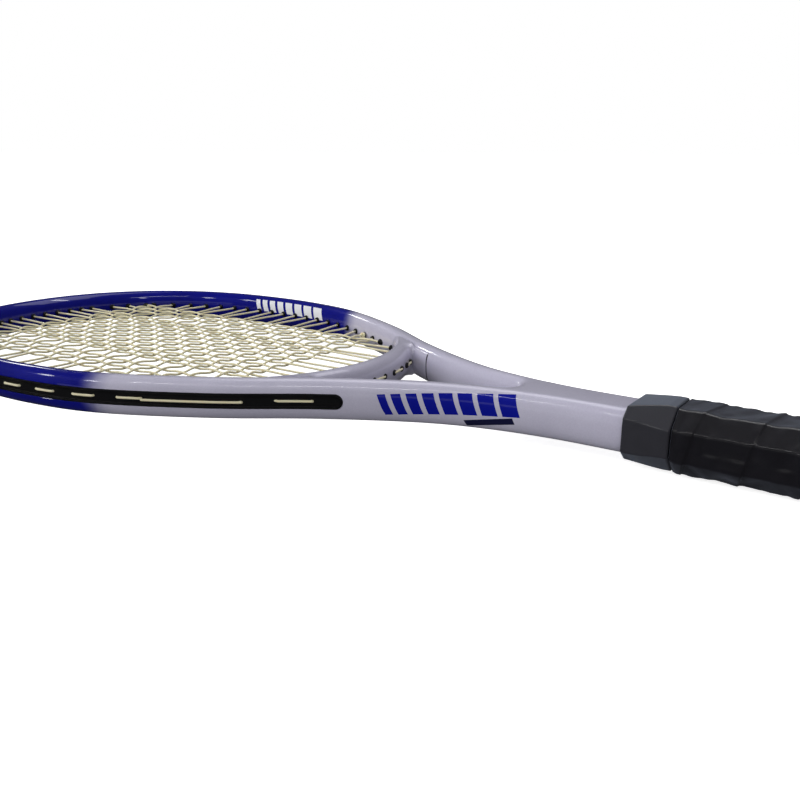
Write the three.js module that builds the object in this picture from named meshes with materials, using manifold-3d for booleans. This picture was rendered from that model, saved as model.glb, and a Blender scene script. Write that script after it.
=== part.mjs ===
// A strung tennis racket. The butt's end face is at X = 0, +X runs to the tip of the head,
// +Z is square to the strings, and the strings lie in the plane Z = 0. Millimetres.
import * as THREE from 'three';
import { mergeVertices } from 'three/addons/utils/BufferGeometryUtils.js';
import Module from 'manifold-3d';

const wasm = await Module();
wasm.setup();

// ---- driving dimensions -------------------------------------------------------------------
const GAP = 0.3;                 // clearance left between two pieces that touch

const WIDEST_X = 527;            // station of the head's widest point
const HALF_WIDTH = 130;          // half the head's outside width
const TIP_REACH = 156.7;         // from the widest point to the frame's tip
const TIP_POWER = 2.15;          // superellipse power of the head's far half
const SHAFT_STATIONS = [         // station and half width of the outside edge, shaft to head
  [190, 15.1], [227, 16.2], [257, 20.6], [287, 29.5], [337, 55.6], [387, 89], [447, 118.8], [487, 127.7],
];
const NECK_X = 176;              // inside the handle the tubes are smaller, up to this station
const SHAFT_END_X = 12;
const NECK_HALF_WIDTH = 13.2;
const NECK_SCALE = 0.87;

const BEAM_WIDTH = 14.2;
const BEAM_HEIGHT = 22;
const BEAM_POWER = 2.3;          // roundness of the tube's section
const WALL = 1.5;
const EDGE_COUNT = 70;           // facets along the hairpin's outside edge
const FORK_X = 262;              // centre of the round crotch where the shafts part
const FORK_RADIUS = 7;

const GROOVE_HALF = 4.2;         // half height of the groove round the outside of the hoop
const GROOVE_DEPTH = 3.2;
const GROOVE_END_X = 326;
const BUMPER_END_X = 613;        // the head guard covers the groove beyond this station

const STRING_RADIUS = 0.65;
const STRING_SIDES = 6;
const LOOP_DEPTH = 0.75;         // how deep a loop's centre lies below the frame's outside edge
const WEAVE_HEIGHT = 1.6;        // how far a cross string rises over a main string
const MAIN_OFFSETS = [5.2, 15.6, 25.8, 34.6, 42.6, 57, 67.5, 78];   // each side of the middle, in Y
const MAIN_PAIRS = MAIN_OFFSETS.length;
const CROSS_COUNT = 19;
const FIRST_CROSS_X = 407;
const CROSS_PITCH = 12.2;
const CROSS_SPREAD = 0.02;       // the pitch grows toward the tip

const BARREL_RADIUS = 2.0;
const BARREL_BORE = 1.15;
const BARREL_PROUD = 1.0;
const BARREL_SIDES = 6;

const BRIDGE_X = 346.5;          // the bridge's middle line where it crosses the racket's axis
const BRIDGE_RADIUS = 105;
const BRIDGE_WIDTH = 12.5;
const BRIDGE_HEIGHT = 20;
const BRIDGE_REACH = 52;         // half the blank's width, before the shafts are cut out of it
const BRIDGE_ARM_END_X = 333;    // the arms lie along the shafts down to here
const BRIDGE_ARM_THICKNESS = 0.9;
const BRIDGE_ARM_HALF = 8;       // half the arms' height
const BRIDGE_MAINS = 5;          // main strings on each side that pass through the bridge

const PALLET_SIZE = [31.4, 25.6];      // across the handle in Y and in Z
const PALLET_SPAN = [3.3, 172];
const GRIP_SIZE = [35.6, 30];
const COLLAR_SPAN = [169.3, 191.3];
const COLLAR_SLIDE_ROOM = 0.9;         // side clearance that lets the ring slide along the shaft

// ---- solids and meshes --------------------------------------------------------------------
function toSolid(geometry) {
  const bare = geometry.clone();
  bare.deleteAttribute('normal');
  bare.deleteAttribute('uv');
  const merged = mergeVertices(bare, 1e-4);
  const index = Array.from(merged.index.array);
  const triangles = [];
  for (let t = 0; t < index.length; t += 3) {
    const [a, b, c] = index.slice(t, t + 3);
    if (a !== b && b !== c && c !== a) triangles.push(a, b, c);
  }
  const mesh = new wasm.Mesh({
    numProp: 3,
    vertProperties: new Float32Array(merged.attributes.position.array),
    triVerts: new Uint32Array(triangles),
  });
  return new wasm.Manifold(mesh);
}

function toGeometry(solid) {
  const mesh = solid.getMesh();
  const geometry = new THREE.BufferGeometry();
  geometry.setAttribute('position', new THREE.BufferAttribute(Float32Array.from(mesh.vertProperties), 3));
  geometry.setIndex(new THREE.BufferAttribute(Uint32Array.from(mesh.triVerts), 1));
  geometry.computeVertexNormals();
  return geometry;
}

const group = new THREE.Group();

function addPiece(name, geometry, color, roughness, metalness = 0) {
  const mesh = new THREE.Mesh(geometry, new THREE.MeshStandardMaterial({ color, roughness, metalness }));
  mesh.name = name;
  group.add(mesh);
}

// Skins a row of rings, which all hold the same number of points, and closes both ends.
function loft(rings) {
  const count = rings[0].length;
  const positions = rings.flat().flatMap((p) => [p.x, p.y, p.z]);
  const index = [];
  for (let r = 0; r + 1 < rings.length; r += 1) {
    for (let i = 0; i < count; i += 1) {
      const a = r * count + i;
      const b = r * count + ((i + 1) % count);
      index.push(a, b, a + count, b, b + count, a + count);
    }
  }
  const capOutline = flatten(rings[0]);
  for (const [i, j, k] of THREE.ShapeUtils.triangulateShape(capOutline, [])) {
    const end = (rings.length - 1) * count;
    index.push(i, k, j, end + i, end + j, end + k);
  }
  const geometry = new THREE.BufferGeometry();
  geometry.setAttribute('position', new THREE.Float32BufferAttribute(positions, 3));
  geometry.setIndex(index);
  return facingOut(geometry);
}

// The ring's points in its own plane, for filling an end.
function flatten(ring) {
  const normal = new THREE.Vector3();
  for (let i = 0; i < ring.length; i += 1) {
    normal.add(new THREE.Vector3().crossVectors(ring[i], ring[(i + 1) % ring.length]));
  }
  normal.normalize();
  const across = new THREE.Vector3().crossVectors(
    Math.abs(normal.z) < 0.9 ? new THREE.Vector3(0, 0, 1) : new THREE.Vector3(1, 0, 0), normal).normalize();
  const up = new THREE.Vector3().crossVectors(normal, across);
  return ring.map((p) => new THREE.Vector2(p.dot(across), p.dot(up)));
}

function facingOut(geometry) {
  const p = geometry.attributes.position;
  const index = geometry.index.array;
  const [a, b, c] = [new THREE.Vector3(), new THREE.Vector3(), new THREE.Vector3()];
  let volume = 0;
  for (let t = 0; t < index.length; t += 3) {
    a.fromBufferAttribute(p, index[t]);
    b.fromBufferAttribute(p, index[t + 1]);
    c.fromBufferAttribute(p, index[t + 2]);
    volume += a.dot(b.cross(c));
  }
  if (volume < 0) {
    const flipped = Array.from(index);
    for (let t = 0; t < flipped.length; t += 3) {
      [flipped[t], flipped[t + 1]] = [flipped[t + 1], flipped[t]];
    }
    geometry.setIndex(flipped);
  }
  return geometry;
}

function cylinderBetween(start, end, radius, sides) {
  const along = new THREE.Vector3().subVectors(end, start);
  const geometry = new THREE.CylinderGeometry(radius, radius, along.length(), sides);
  geometry.applyQuaternion(new THREE.Quaternion().setFromUnitVectors(
    new THREE.Vector3(0, 1, 0), along.clone().normalize()));
  const middle = new THREE.Vector3().addVectors(start, end).multiplyScalar(0.5);
  geometry.translate(middle.x, middle.y, middle.z);
  return toSolid(geometry);
}

// ---- the hairpin's plan -------------------------------------------------------------------
// The outside edge of the tube, from one shaft round the head to the other shaft.
function outsideEdge() {
  const half = SHAFT_STATIONS.map(([x, y]) => new THREE.Vector3(x, y, 0));
  const steps = 5;
  for (let i = 0; i <= steps; i += 1) {
    const turn = (Math.PI / 2) * (i / steps);
    half.push(new THREE.Vector3(
      WIDEST_X + TIP_REACH * Math.pow(Math.sin(turn), 2 / TIP_POWER),
      HALF_WIDTH * Math.pow(Math.max(Math.cos(turn), 0), 2 / TIP_POWER), 0));
  }
  const otherHalf = half.slice(0, -1).reverse().map((p) => new THREE.Vector3(p.x, -p.y, 0));
  return new THREE.CatmullRomCurve3([...half, ...otherHalf], false, 'centripetal');
}

const edge = outsideEdge();
edge.arcLengthDivisions = 2000;

function stationsAlongEdge(count) {
  const stations = [];
  for (let i = 0; i <= count; i += 1) {
    const p = edge.getPointAt(i / count);
    const t = edge.getTangentAt(i / count);
    stations.push({ x: p.x, y: p.y, outX: -t.y, outY: t.x, scale: 1 });
  }
  return stations;
}

// A point at a depth below the outside edge and a height above the string plane.
function below(station, depth, height) {
  return new THREE.Vector3(
    station.x - station.outX * depth * station.scale,
    station.y - station.outY * depth * station.scale,
    height * station.scale);
}

// The same facets cut finely, so that strings, strips and holes all follow the frame's facets.
const edgeStations = stationsAlongEdge(EDGE_COUNT);
const FINE_STEPS = 24;
const mix = (a, b, share) => a + (b - a) * share;

function mixStations(a, b, share) {
  return {
    x: mix(a.x, b.x, share), y: mix(a.y, b.y, share),
    outX: mix(a.outX, b.outX, share), outY: mix(a.outY, b.outY, share), scale: 1,
  };
}

const fineStations = edgeStations.flatMap((s, i) => (i === EDGE_COUNT ? [s]
  : Array.from({ length: FINE_STEPS }, (_, n) => mixStations(s, edgeStations[i + 1], n / FINE_STEPS))));

function stationAtPlace(place) {
  const i = Math.min(Math.floor(place), fineStations.length - 2);
  return mixStations(fineStations[i], fineStations[i + 1], place - i);
}

// Where a string's line meets the edge's copy at a depth. Main strings run along X and cross
// strings along Y; end is +1 or -1, for the crossing with the larger or smaller coordinate.
function crossing(runsAlong, at, depth, end) {
  const [run, fixed] = runsAlong === 'x' ? ['x', 'y'] : ['y', 'x'];
  let best = null;
  for (let i = 0; i + 1 < fineStations.length; i += 1) {
    const a = below(fineStations[i], depth, 0);
    const b = below(fineStations[i + 1], depth, 0);
    if ((a[fixed] - at) * (b[fixed] - at) > 0 || a[fixed] === b[fixed]) continue;
    const share = (at - a[fixed]) / (b[fixed] - a[fixed]);
    const value = a[run] + share * (b[run] - a[run]);
    if (best === null || end * value > end * best.value) best = { value, place: i + share };
  }
  return best;
}

const stationAt = (x, side, depth = 0) => stationAtPlace(crossing('y', x, depth, side).place);

// Stations of one side of the hoop between two X stations, measured at a depth below the edge.
function sideStations(fromX, toX, side, depth = 0) {
  const row = edgeStations.filter((s) => {
    const { x } = below(s, depth, 0);
    return x > fromX && x < toX && s.y * side > 0;
  });
  return [stationAt(fromX, side, depth), ...(side > 0 ? row : row.reverse()), stationAt(toX, side, depth)];
}

// Stations of the hoop beyond an X station, from the +Y side round the tip to the -Y side.
function tipStations(fromX) {
  const row = edgeStations.filter((s) => s.x > fromX);
  return [stationAt(fromX, 1), ...row, stationAt(fromX, -1)];
}

// ---- frame --------------------------------------------------------------------------------
function tubeSection(width, height, count, inset = 0) {
  const points = [];
  for (let i = 0; i < count; i += 1) {
    const a = (2 * Math.PI * (i + 0.5)) / count;
    const round = (value) => Math.sign(value) * Math.pow(Math.abs(value), 2 / BEAM_POWER);
    points.push([BEAM_WIDTH / 2 + inset - (width / 2) * round(Math.cos(a)), (height / 2) * round(Math.sin(a))]);
  }
  return points;
}

function surfaceDepth(height) {
  const rise = 1 - Math.pow(Math.abs(height) / (BEAM_HEIGHT / 2), BEAM_POWER);
  return (BEAM_WIDTH / 2) * (1 - Math.pow(rise, 1 / BEAM_POWER));
}

const SECTION_COUNT = 14;
const outerSection = tubeSection(BEAM_WIDTH, BEAM_HEIGHT, SECTION_COUNT);
const lip = surfaceDepth(GROOVE_HALF);

function grooveRing(station, depth) {
  const shoulder = outerSection.filter(([u, v]) => Math.abs(v) > GROOVE_HALF + 0.5 || u > BEAM_WIDTH / 2);
  const upper = shoulder.findIndex(([, v]) => v > 0);
  const ordered = [...shoulder.slice(upper), ...shoulder.slice(0, upper)];
  const groove = [[lip, -GROOVE_HALF], [depth, -GROOVE_HALF], [depth, GROOVE_HALF], [lip, GROOVE_HALF]];
  return [...ordered, ...groove].map(([u, v]) => below(station, u, v));
}

function withNecks(stations) {
  const first = stations[0];
  const neck = (x, half, scale, side) => ({ x, y: side * half, outX: 0, outY: side, scale });
  const neckOf = (side) => [
    neck(SHAFT_END_X, NECK_HALF_WIDTH, NECK_SCALE, side),
    neck(NECK_X, NECK_HALF_WIDTH, NECK_SCALE, side),
  ];
  const square = (s, side) => ({ ...s, outX: 0, outY: side });
  const last = stations[stations.length - 1];
  return [
    ...neckOf(1), square(first, 1), ...stations.slice(1, -1), square(last, -1), ...neckOf(-1).reverse(),
  ];
}

function hairpinStations() {
  const stations = withNecks(edgeStations);
  const ends = [stationAt(GROOVE_END_X, 1), stationAt(GROOVE_END_X, -1)];
  const rows = [];
  for (const [i, s] of stations.entries()) {
    rows.push({ station: s, grooved: s.x > GROOVE_END_X });
    const next = stations[i + 1];
    if (next && (s.x - GROOVE_END_X) * (next.x - GROOVE_END_X) < 0) {
      const end = s.y > 0 ? ends[0] : ends[1];
      const entering = s.x < GROOVE_END_X;
      rows.push({ station: end, grooved: !entering }, { station: shifted(end, 0.2, s.y > 0), grooved: entering });
    }
  }
  return rows;
}

function shifted(station, distance, forward) {
  const way = forward ? 1 : -1;
  return {
    ...station,
    x: station.x + station.outY * distance * way,
    y: station.y - station.outX * distance * way,
  };
}

function shaftFiller() {
  const shape = new THREE.Shape();
  const crest = SHAFT_STATIONS.filter(([x]) => x < FORK_X + 10)
    .map(([x, half]) => [Math.min(x, FORK_X), half - BEAM_WIDTH / 2]);
  crest[0][0] += 0.5;
  const forkCrest = crossing('y', FORK_X, BEAM_WIDTH / 2, 1).value;
  shape.moveTo(crest[0][0], -crest[0][1]);
  for (const [x, y] of crest.slice(1)) shape.lineTo(x, -y);
  shape.lineTo(FORK_X, -forkCrest);
  shape.absarc(FORK_X, 0, FORK_RADIUS, -Math.PI / 2, Math.PI / 2, true);
  shape.lineTo(FORK_X, forkCrest);
  for (const [x, y] of crest.slice(1).reverse()) shape.lineTo(x, y);
  shape.lineTo(crest[0][0], crest[0][1]);
  const height = BEAM_HEIGHT - 0.3;
  const geometry = new THREE.ExtrudeGeometry(shape, { depth: height, bevelEnabled: false, curveSegments: 8 });
  geometry.translate(0, 0, -height / 2);
  return toSolid(geometry);
}

// ---- string plan --------------------------------------------------------------------------
const mainY = (k) => MAIN_OFFSETS[k - 1];
const crossX = (j) => FIRST_CROSS_X + CROSS_PITCH * j + CROSS_SPREAD * j * j;

const bridgeCentreX = BRIDGE_X + BRIDGE_RADIUS;
const throatFaceRadius = BRIDGE_RADIUS + BRIDGE_WIDTH / 2;
const throatFaceX = (y) => bridgeCentreX - Math.sqrt(throatFaceRadius ** 2 - y * y);

// Every hole through the hoop's wall: its axis, and where the axis leaves each face.
function wallHoles() {
  const holes = [];
  const grooveBottom = GROOVE_DEPTH - GAP - 0.6;
  for (const side of [1, -1]) {
    for (let k = 1; k <= MAIN_PAIRS; k += 1) {
      const y = side * mainY(k);
      const ends = k > BRIDGE_MAINS ? [1, -1] : [1];
      for (const end of ends) {
        const outer = crossing('x', y, grooveBottom, end).value;
        const inner = crossing('x', y, BEAM_WIDTH, end).value;
        holes.push({ end, way: new THREE.Vector3(end, 0, 0),
          outer: new THREE.Vector3(outer, y, 0), inner: new THREE.Vector3(inner, y, 0) });
      }
    }
    for (let j = 0; j < CROSS_COUNT; j += 1) {
      const x = crossX(j);
      const outer = crossing('y', x, grooveBottom, side).value;
      const inner = crossing('y', x, BEAM_WIDTH, side).value;
      holes.push({ end: 0, way: new THREE.Vector3(0, side, 0),
        outer: new THREE.Vector3(x, outer, 0), inner: new THREE.Vector3(x, inner, 0) });
    }
  }
  return holes;
}

const holes = wallHoles();
const past = (point, way, distance) => point.clone().addScaledVector(way, distance);

function frame() {
  const skin = toSolid(loft(hairpinStations().map(({ station, grooved }) => (
    grooveRing(station, grooved ? GROOVE_DEPTH : lip + 0.05)))));
  const boreSection = tubeSection(BEAM_WIDTH - GROOVE_DEPTH - 2 * WALL, BEAM_HEIGHT - 2 * WALL, 8,
    GROOVE_DEPTH / 2);
  const boreStations = withNecks(stationsAlongEdge(44));
  boreStations[0].x -= 1;
  boreStations[boreStations.length - 1].x -= 1;
  const bore = toSolid(loft(boreStations.map((s) => boreSection.map(([u, v]) => below(s, u, v)))));
  const drills = holes.map(({ outer, inner, way }) => cylinderBetween(
    past(inner, way, -4), past(outer, way, 6), BARREL_RADIUS + GAP, BARREL_SIDES));
  const whole = skin.add(shaftFiller()).subtract(bore).subtract(wasm.Manifold.union(drills));
  return toGeometry(whole);
}

// ---- strips in the groove -----------------------------------------------------------------
const channelFloor = LOOP_DEPTH + STRING_RADIUS + GAP;
const stripSection = [
  [GROOVE_DEPTH - GAP, -GROOVE_HALF + GAP], [GROOVE_DEPTH - GAP, GROOVE_HALF - GAP],
  [lip, GROOVE_HALF - GAP], [lip, GROOVE_HALF - 1.1],
  [channelFloor, GROOVE_HALF - 1.1], [channelFloor, -GROOVE_HALF + 1.1],
  [lip, -GROOVE_HALF + 1.1], [lip, -GROOVE_HALF + GAP],
];
const WING_HALF = 7;             // the head guard's wings reach this far above and below
const WING_THICKNESS = 1.0;
const wingOf = (height) => surfaceDepth(height) - GAP;
const bumperSection = [
  [GROOVE_DEPTH - GAP, -GROOVE_HALF + GAP], [GROOVE_DEPTH - GAP, GROOVE_HALF - GAP],
  [wingOf(GROOVE_HALF), GROOVE_HALF - GAP], [wingOf(WING_HALF), WING_HALF],
  [wingOf(WING_HALF) - WING_THICKNESS, WING_HALF], [wingOf(GROOVE_HALF) - WING_THICKNESS, GROOVE_HALF - 1.1],
  [channelFloor, GROOVE_HALF - 1.1], [channelFloor, -GROOVE_HALF + 1.1],
  [wingOf(GROOVE_HALF) - WING_THICKNESS, -GROOVE_HALF + 1.1], [wingOf(WING_HALF) - WING_THICKNESS, -WING_HALF],
  [wingOf(WING_HALF), -WING_HALF], [wingOf(GROOVE_HALF), -GROOVE_HALF + GAP],
];
const channelSection = [
  [channelFloor, -GROOVE_HALF + 1.1], [channelFloor, GROOVE_HALF - 1.1],
  [-4, GROOVE_HALF - 1.1], [-4, -GROOVE_HALF + 1.1],
];

const alongStations = (stations, section) => toSolid(loft(
  stations.map((s) => section.map(([u, v]) => below(s, u, v)))));

// A moulded strip with one barrel for each string hole along it.
function grommetStrip(stations, section, itsHoles) {
  const barrels = itsHoles.map(({ outer, inner, way }) => cylinderBetween(
    past(inner, way, -BARREL_PROUD), outer, BARREL_RADIUS, BARREL_SIDES));
  const bores = itsHoles.map(({ outer, inner, way }) => cylinderBetween(
    past(inner, way, -BARREL_PROUD - 2), past(outer, way, 6), BARREL_BORE, BARREL_SIDES));
  return toGeometry(alongStations(stations, section)
    .add(wasm.Manifold.union(barrels))
    .subtract(alongStations(stations, channelSection))
    .subtract(wasm.Manifold.union(bores)));
}

const underBumper = ({ outer }) => outer.x > BUMPER_END_X;

function sideStrip(side) {
  const stations = sideStations(GROOVE_END_X + GAP + 0.3, BUMPER_END_X - GAP, side);
  return grommetStrip(stations, stripSection, holes.filter((h) => !underBumper(h) && h.outer.y * side > 0));
}

function bumperGuard() {
  return grommetStrip(tipStations(BUMPER_END_X), bumperSection, holes.filter(underBumper));
}

// ---- throat bridge ------------------------------------------------------------------------
function throatBridge() {
  const section = tubeSection(BRIDGE_WIDTH, BRIDGE_HEIGHT, 12).map(([u, v]) => [u - BEAM_WIDTH / 2, v]);
  const turn = Math.asin(BRIDGE_REACH / BRIDGE_RADIUS);
  const steps = 12;
  const arch = Array.from({ length: steps + 1 }, (_, i) => {
    const a = -turn + (2 * turn * i) / steps;
    return section.map(([u, v]) => new THREE.Vector3(
      bridgeCentreX - (BRIDGE_RADIUS - u) * Math.cos(a), (BRIDGE_RADIUS - u) * Math.sin(a), v));
  });
  let body = toSolid(loft(arch));
  const armFace = BEAM_WIDTH + GAP + BRIDGE_ARM_THICKNESS;
  const armSection = [
    [BEAM_WIDTH - 6, -BRIDGE_ARM_HALF], [BEAM_WIDTH - 6, BRIDGE_ARM_HALF],
    [armFace, BRIDGE_ARM_HALF - 0.4], [armFace, -BRIDGE_ARM_HALF + 0.4],
  ];
  for (const side of [1, -1]) {
    const along = sideStations(BRIDGE_ARM_END_X, BRIDGE_X + 8, side, BEAM_WIDTH);
    body = body.add(alongStations(along, armSection));
  }
  const clearSection = tubeSection(BEAM_WIDTH + 2 * GAP, BEAM_HEIGHT + 2 * GAP, 24);
  for (const side of [1, -1]) {
    body = body.subtract(alongStations(sideStations(300, 420, side), clearSection));
  }
  const drills = bridgeHoles().map(({ y, headX, throatX }) => cylinderBetween(
    new THREE.Vector3(throatX - 6, y, 0), new THREE.Vector3(headX + 6, y, 0), BARREL_RADIUS + GAP, 8));
  const flangeRoom = bridgeHoles().filter(({ y }) => Math.abs(y) > 40).map((hole) => cylinderBetween(
    new THREE.Vector3(flangeBackX(hole) - 5, hole.y, 0), new THREE.Vector3(flangeBackX(hole) + GAP, hole.y, 0),
    FLANGE_RADIUS + GAP, 8));
  return toGeometry(body.subtract(wasm.Manifold.union([...drills, ...flangeRoom])));
}

function bridgeHoles() {
  const found = [];
  for (const side of [1, -1]) {
    for (let k = 1; k <= BRIDGE_MAINS; k += 1) {
      const y = side * mainY(k);
      const headRadius = BRIDGE_RADIUS - BRIDGE_WIDTH / 2;
      found.push({ y, headX: bridgeCentreX - Math.sqrt(headRadius ** 2 - y * y), throatX: throatFaceX(y) });
    }
  }
  return found;
}

// A single grommet: a short tube with a thin flange against the bridge's throat side.
const FLANGE_RADIUS = 2.3;
const FLANGE_THICKNESS = 0.8;
const flangeBackX = (hole) => Math.min(throatFaceX(Math.abs(hole.y) - FLANGE_RADIUS), hole.throatX) - GAP;

function bridgeGrommet(hole) {
  const flangeX = flangeBackX(hole);
  const profile = [
    [BARREL_BORE, flangeX - FLANGE_THICKNESS], [FLANGE_RADIUS, flangeX - FLANGE_THICKNESS],
    [FLANGE_RADIUS, flangeX], [BARREL_RADIUS, flangeX],
    [BARREL_RADIUS, hole.headX + BARREL_PROUD], [BARREL_BORE, hole.headX + BARREL_PROUD],
    [BARREL_BORE, flangeX - FLANGE_THICKNESS],
  ];
  const geometry = new THREE.LatheGeometry(profile.map(([r, x]) => new THREE.Vector2(r, x)), 8);
  geometry.rotateZ(-Math.PI / 2);
  geometry.translate(0, hole.y, 0);
  return toGeometry(toSolid(geometry));
}

// ---- strings ------------------------------------------------------------------------------
// A string is a tube through its corner points; each ring lies in the plane that halves the bend.
function stringTube(points) {
  const rings = [];
  let across = null;
  for (let i = 0; i < points.length; i += 1) {
    const into = new THREE.Vector3().subVectors(points[i], points[Math.max(i - 1, 0)]).normalize();
    const out = new THREE.Vector3().subVectors(points[Math.min(i + 1, points.length - 1)], points[i]).normalize();
    if (i === 0) into.copy(out);
    if (i === points.length - 1) out.copy(into);
    const mid = into.clone().add(out).normalize();
    const up = new THREE.Vector3(0, 0, 1);
    const side = new THREE.Vector3().crossVectors(up, mid).normalize();
    if (across && side.dot(across) < 0 && Math.abs(mid.z) > 0.9) side.negate();
    across = side;
    const lift = new THREE.Vector3().crossVectors(mid, side);
    const stretch = 1 / Math.max(Math.sqrt((1 + into.dot(out)) / 2), 0.6);
    const flatBend = Math.abs(into.z - out.z) < 0.2;
    rings.push(Array.from({ length: STRING_SIDES }, (_, n) => {
      const a = (2 * Math.PI * (n + 0.5)) / STRING_SIDES;
      return points[i].clone()
        .addScaledVector(side, STRING_RADIUS * Math.cos(a) * (flatBend ? stretch : 1))
        .addScaledVector(lift, STRING_RADIUS * Math.sin(a));
    }));
  }
  return loft(rings);
}

// Points of a loop that lies in the channel between two places on the hoop's edge.
function loopInChannel(fromPlace, toPlace) {
  const [low, high] = [Math.min(fromPlace, toPlace), Math.max(fromPlace, toPlace)];
  const corners = edgeStations.map((_, i) => i * FINE_STEPS).filter((p) => p > low + 4 && p < high - 4);
  if (fromPlace > toPlace) corners.reverse();
  return [fromPlace, ...corners, toPlace].map((place) => below(stationAtPlace(place), LOOP_DEPTH, 0));
}

const mainExit = (y, end) => crossing('x', y, LOOP_DEPTH, end);
const crossExit = (x, side) => crossing('y', x, LOOP_DEPTH, side);
const loopX = (k) => flangeBackX({ y: mainY(k), throatX: throatFaceX(mainY(k)) })
  - FLANGE_THICKNESS - GAP - STRING_RADIUS;

// Half of the main string, from the middle of the throat out to its knotted end.
function mainHalf(side) {
  const points = [];
  for (let k = 1; k <= MAIN_PAIRS; k += 1) {
    const y = side * mainY(k);
    const towardTip = k % 2 === 1;
    const tip = mainExit(y, 1);
    const throat = k > BRIDGE_MAINS ? new THREE.Vector3(mainExit(y, -1).value, y, 0)
      : new THREE.Vector3(loopX(k), y, 0);
    const besideFlange = side * (mainY(k) + FLANGE_RADIUS + GAP + STRING_RADIUS);
    if (towardTip) {
      if (k <= BRIDGE_MAINS) points.push(throat);
      const next = mainExit(side * mainY(k + 1), 1);
      points.push(...loopInChannel(tip.place, next.place));
    } else if (k > BRIDGE_MAINS && k + 1 <= MAIN_PAIRS) {
      const next = mainExit(side * mainY(k + 1), -1);
      points.push(...loopInChannel(mainExit(y, -1).place, next.place));
    } else {
      points.push(throat);
      if (k < BRIDGE_MAINS) points.push(new THREE.Vector3(loopX(k), besideFlange, 0));
    }
  }
  return points;
}

function mainString() {
  return stringTube([...mainHalf(1).reverse(), ...mainHalf(-1)]);
}

// The cross string starts at the tip on the -Y side and weaves down to the throat.
function crossString() {
  const points = [];
  for (let j = CROSS_COUNT - 1; j >= 0; j -= 1) {
    const towardY = j % 2 === 0 ? 1 : -1;
    const x = crossX(j);
    const reach = crossExit(x, towardY);
    if (j === CROSS_COUNT - 1) points.push(new THREE.Vector3(x, crossExit(x, -towardY).value, 0));
    const run = [];
    for (let k = -MAIN_PAIRS; k <= MAIN_PAIRS; k += 1) {
      if (k === 0) continue;
      const y = Math.sign(k) * mainY(Math.abs(k));
      const over = (j + (k > 0 ? k : k + 1)) % 2 === 0 ? 1 : -1;
      run.push(new THREE.Vector3(x, y, over * WEAVE_HEIGHT));
    }
    const wall = crossing('y', x, BEAM_WIDTH, 1).value - BARREL_PROUD;
    run.push(new THREE.Vector3(x, wall, 0));
    run.unshift(new THREE.Vector3(x, -wall, 0));
    if (towardY < 0) run.reverse();
    points.push(...run);
    if (j > 0) {
      points.push(...loopInChannel(reach.place, crossExit(crossX(j - 1), towardY).place));
    } else {
      points.push(new THREE.Vector3(x, reach.value, 0));
    }
  }
  return stringTube(points);
}

// ---- handle -------------------------------------------------------------------------------
// An eight-sided ring round the handle, from its width in Y and height in Z. The two shares say
// how much of the width and of the height is flat.
function handleRing(x, [width, height, shareY = 0.5, shareZ = 0.42]) {
  const [w, h] = [width / 2, height / 2];
  const [flatY, flatZ] = [w * shareY, h * shareZ];
  return [[w, -flatZ], [w, flatZ], [flatY, h], [-flatY, h], [-w, flatZ], [-w, -flatZ], [-flatY, -h], [flatY, -h]]
    .map(([y, z]) => new THREE.Vector3(x, y, z));
}

const handleLoft = (rows) => toSolid(loft(rows.map(([x, ...size]) => handleRing(x, size))));

function box(low, high) {
  const size = high.map((v, i) => v - low[i]);
  const geometry = new THREE.BoxGeometry(...size);
  geometry.translate(...high.map((v, i) => (v + low[i]) / 2));
  return toSolid(geometry);
}

// The staple's two legs stand this far to each side of the middle; its crown lies on the cap.
const STAPLE_X = 17;
const STAPLE_HALF = 4;
const STAPLE_WIRE = 0.7;
const STAPLE_LEG = 4.2;
const CAP_SKIRT = [33.6, 27.8];
const crownZ = CAP_SKIRT[1] / 2 + GAP;

function staple(side, grow = 0) {
  const half = STAPLE_WIRE / 2 + grow;
  const legFoot = crownZ + STAPLE_WIRE - STAPLE_LEG - grow;
  const slab = (y0, y1, z0, z1) => box(
    [STAPLE_X - half, y0, Math.min(side * z0, side * z1)], [STAPLE_X + half, y1, Math.max(side * z0, side * z1)]);
  const top = crownZ + STAPLE_WIRE + grow;
  return slab(-STAPLE_HALF - half, STAPLE_HALF + half, crownZ, top)
    .add(slab(-STAPLE_HALF - half, -STAPLE_HALF + half, legFoot, top))
    .add(slab(STAPLE_HALF - half, STAPLE_HALF + half, legFoot, top));
}

function palletHalf(side) {
  const [start, end] = PALLET_SPAN;
  const shell = handleLoft([[start, ...PALLET_SIZE], [end - 5, ...PALLET_SIZE], [end, 29.6, 23.8]]);
  const room = GAP / NECK_SCALE;
  const tubeRoom = tubeSection(BEAM_WIDTH + 2 * room, BEAM_HEIGHT + 2 * room, SECTION_COUNT);
  const crest = (BEAM_HEIGHT / 2) * NECK_SCALE + GAP;
  const tubeMiddle = NECK_HALF_WIDTH - (BEAM_WIDTH / 2) * NECK_SCALE;
  let cavity = box([start - 1, -tubeMiddle, -crest], [end + 1, tubeMiddle, crest]);
  for (const y of [1, -1]) {
    const ends = [start - 1, end + 1].map((x) => (
      { x, y: y * NECK_HALF_WIDTH, outX: 0, outY: y, scale: NECK_SCALE }));
    cavity = cavity.add(alongStations(ends, tubeRoom));
  }
  const other = side > 0 ? box([0, -30, -30], [200, 30, GAP / 2]) : box([0, -30, -GAP / 2], [200, 30, 30]);
  return toGeometry(shell.subtract(cavity).subtract(other).subtract(staple(side, GAP)));
}

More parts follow.
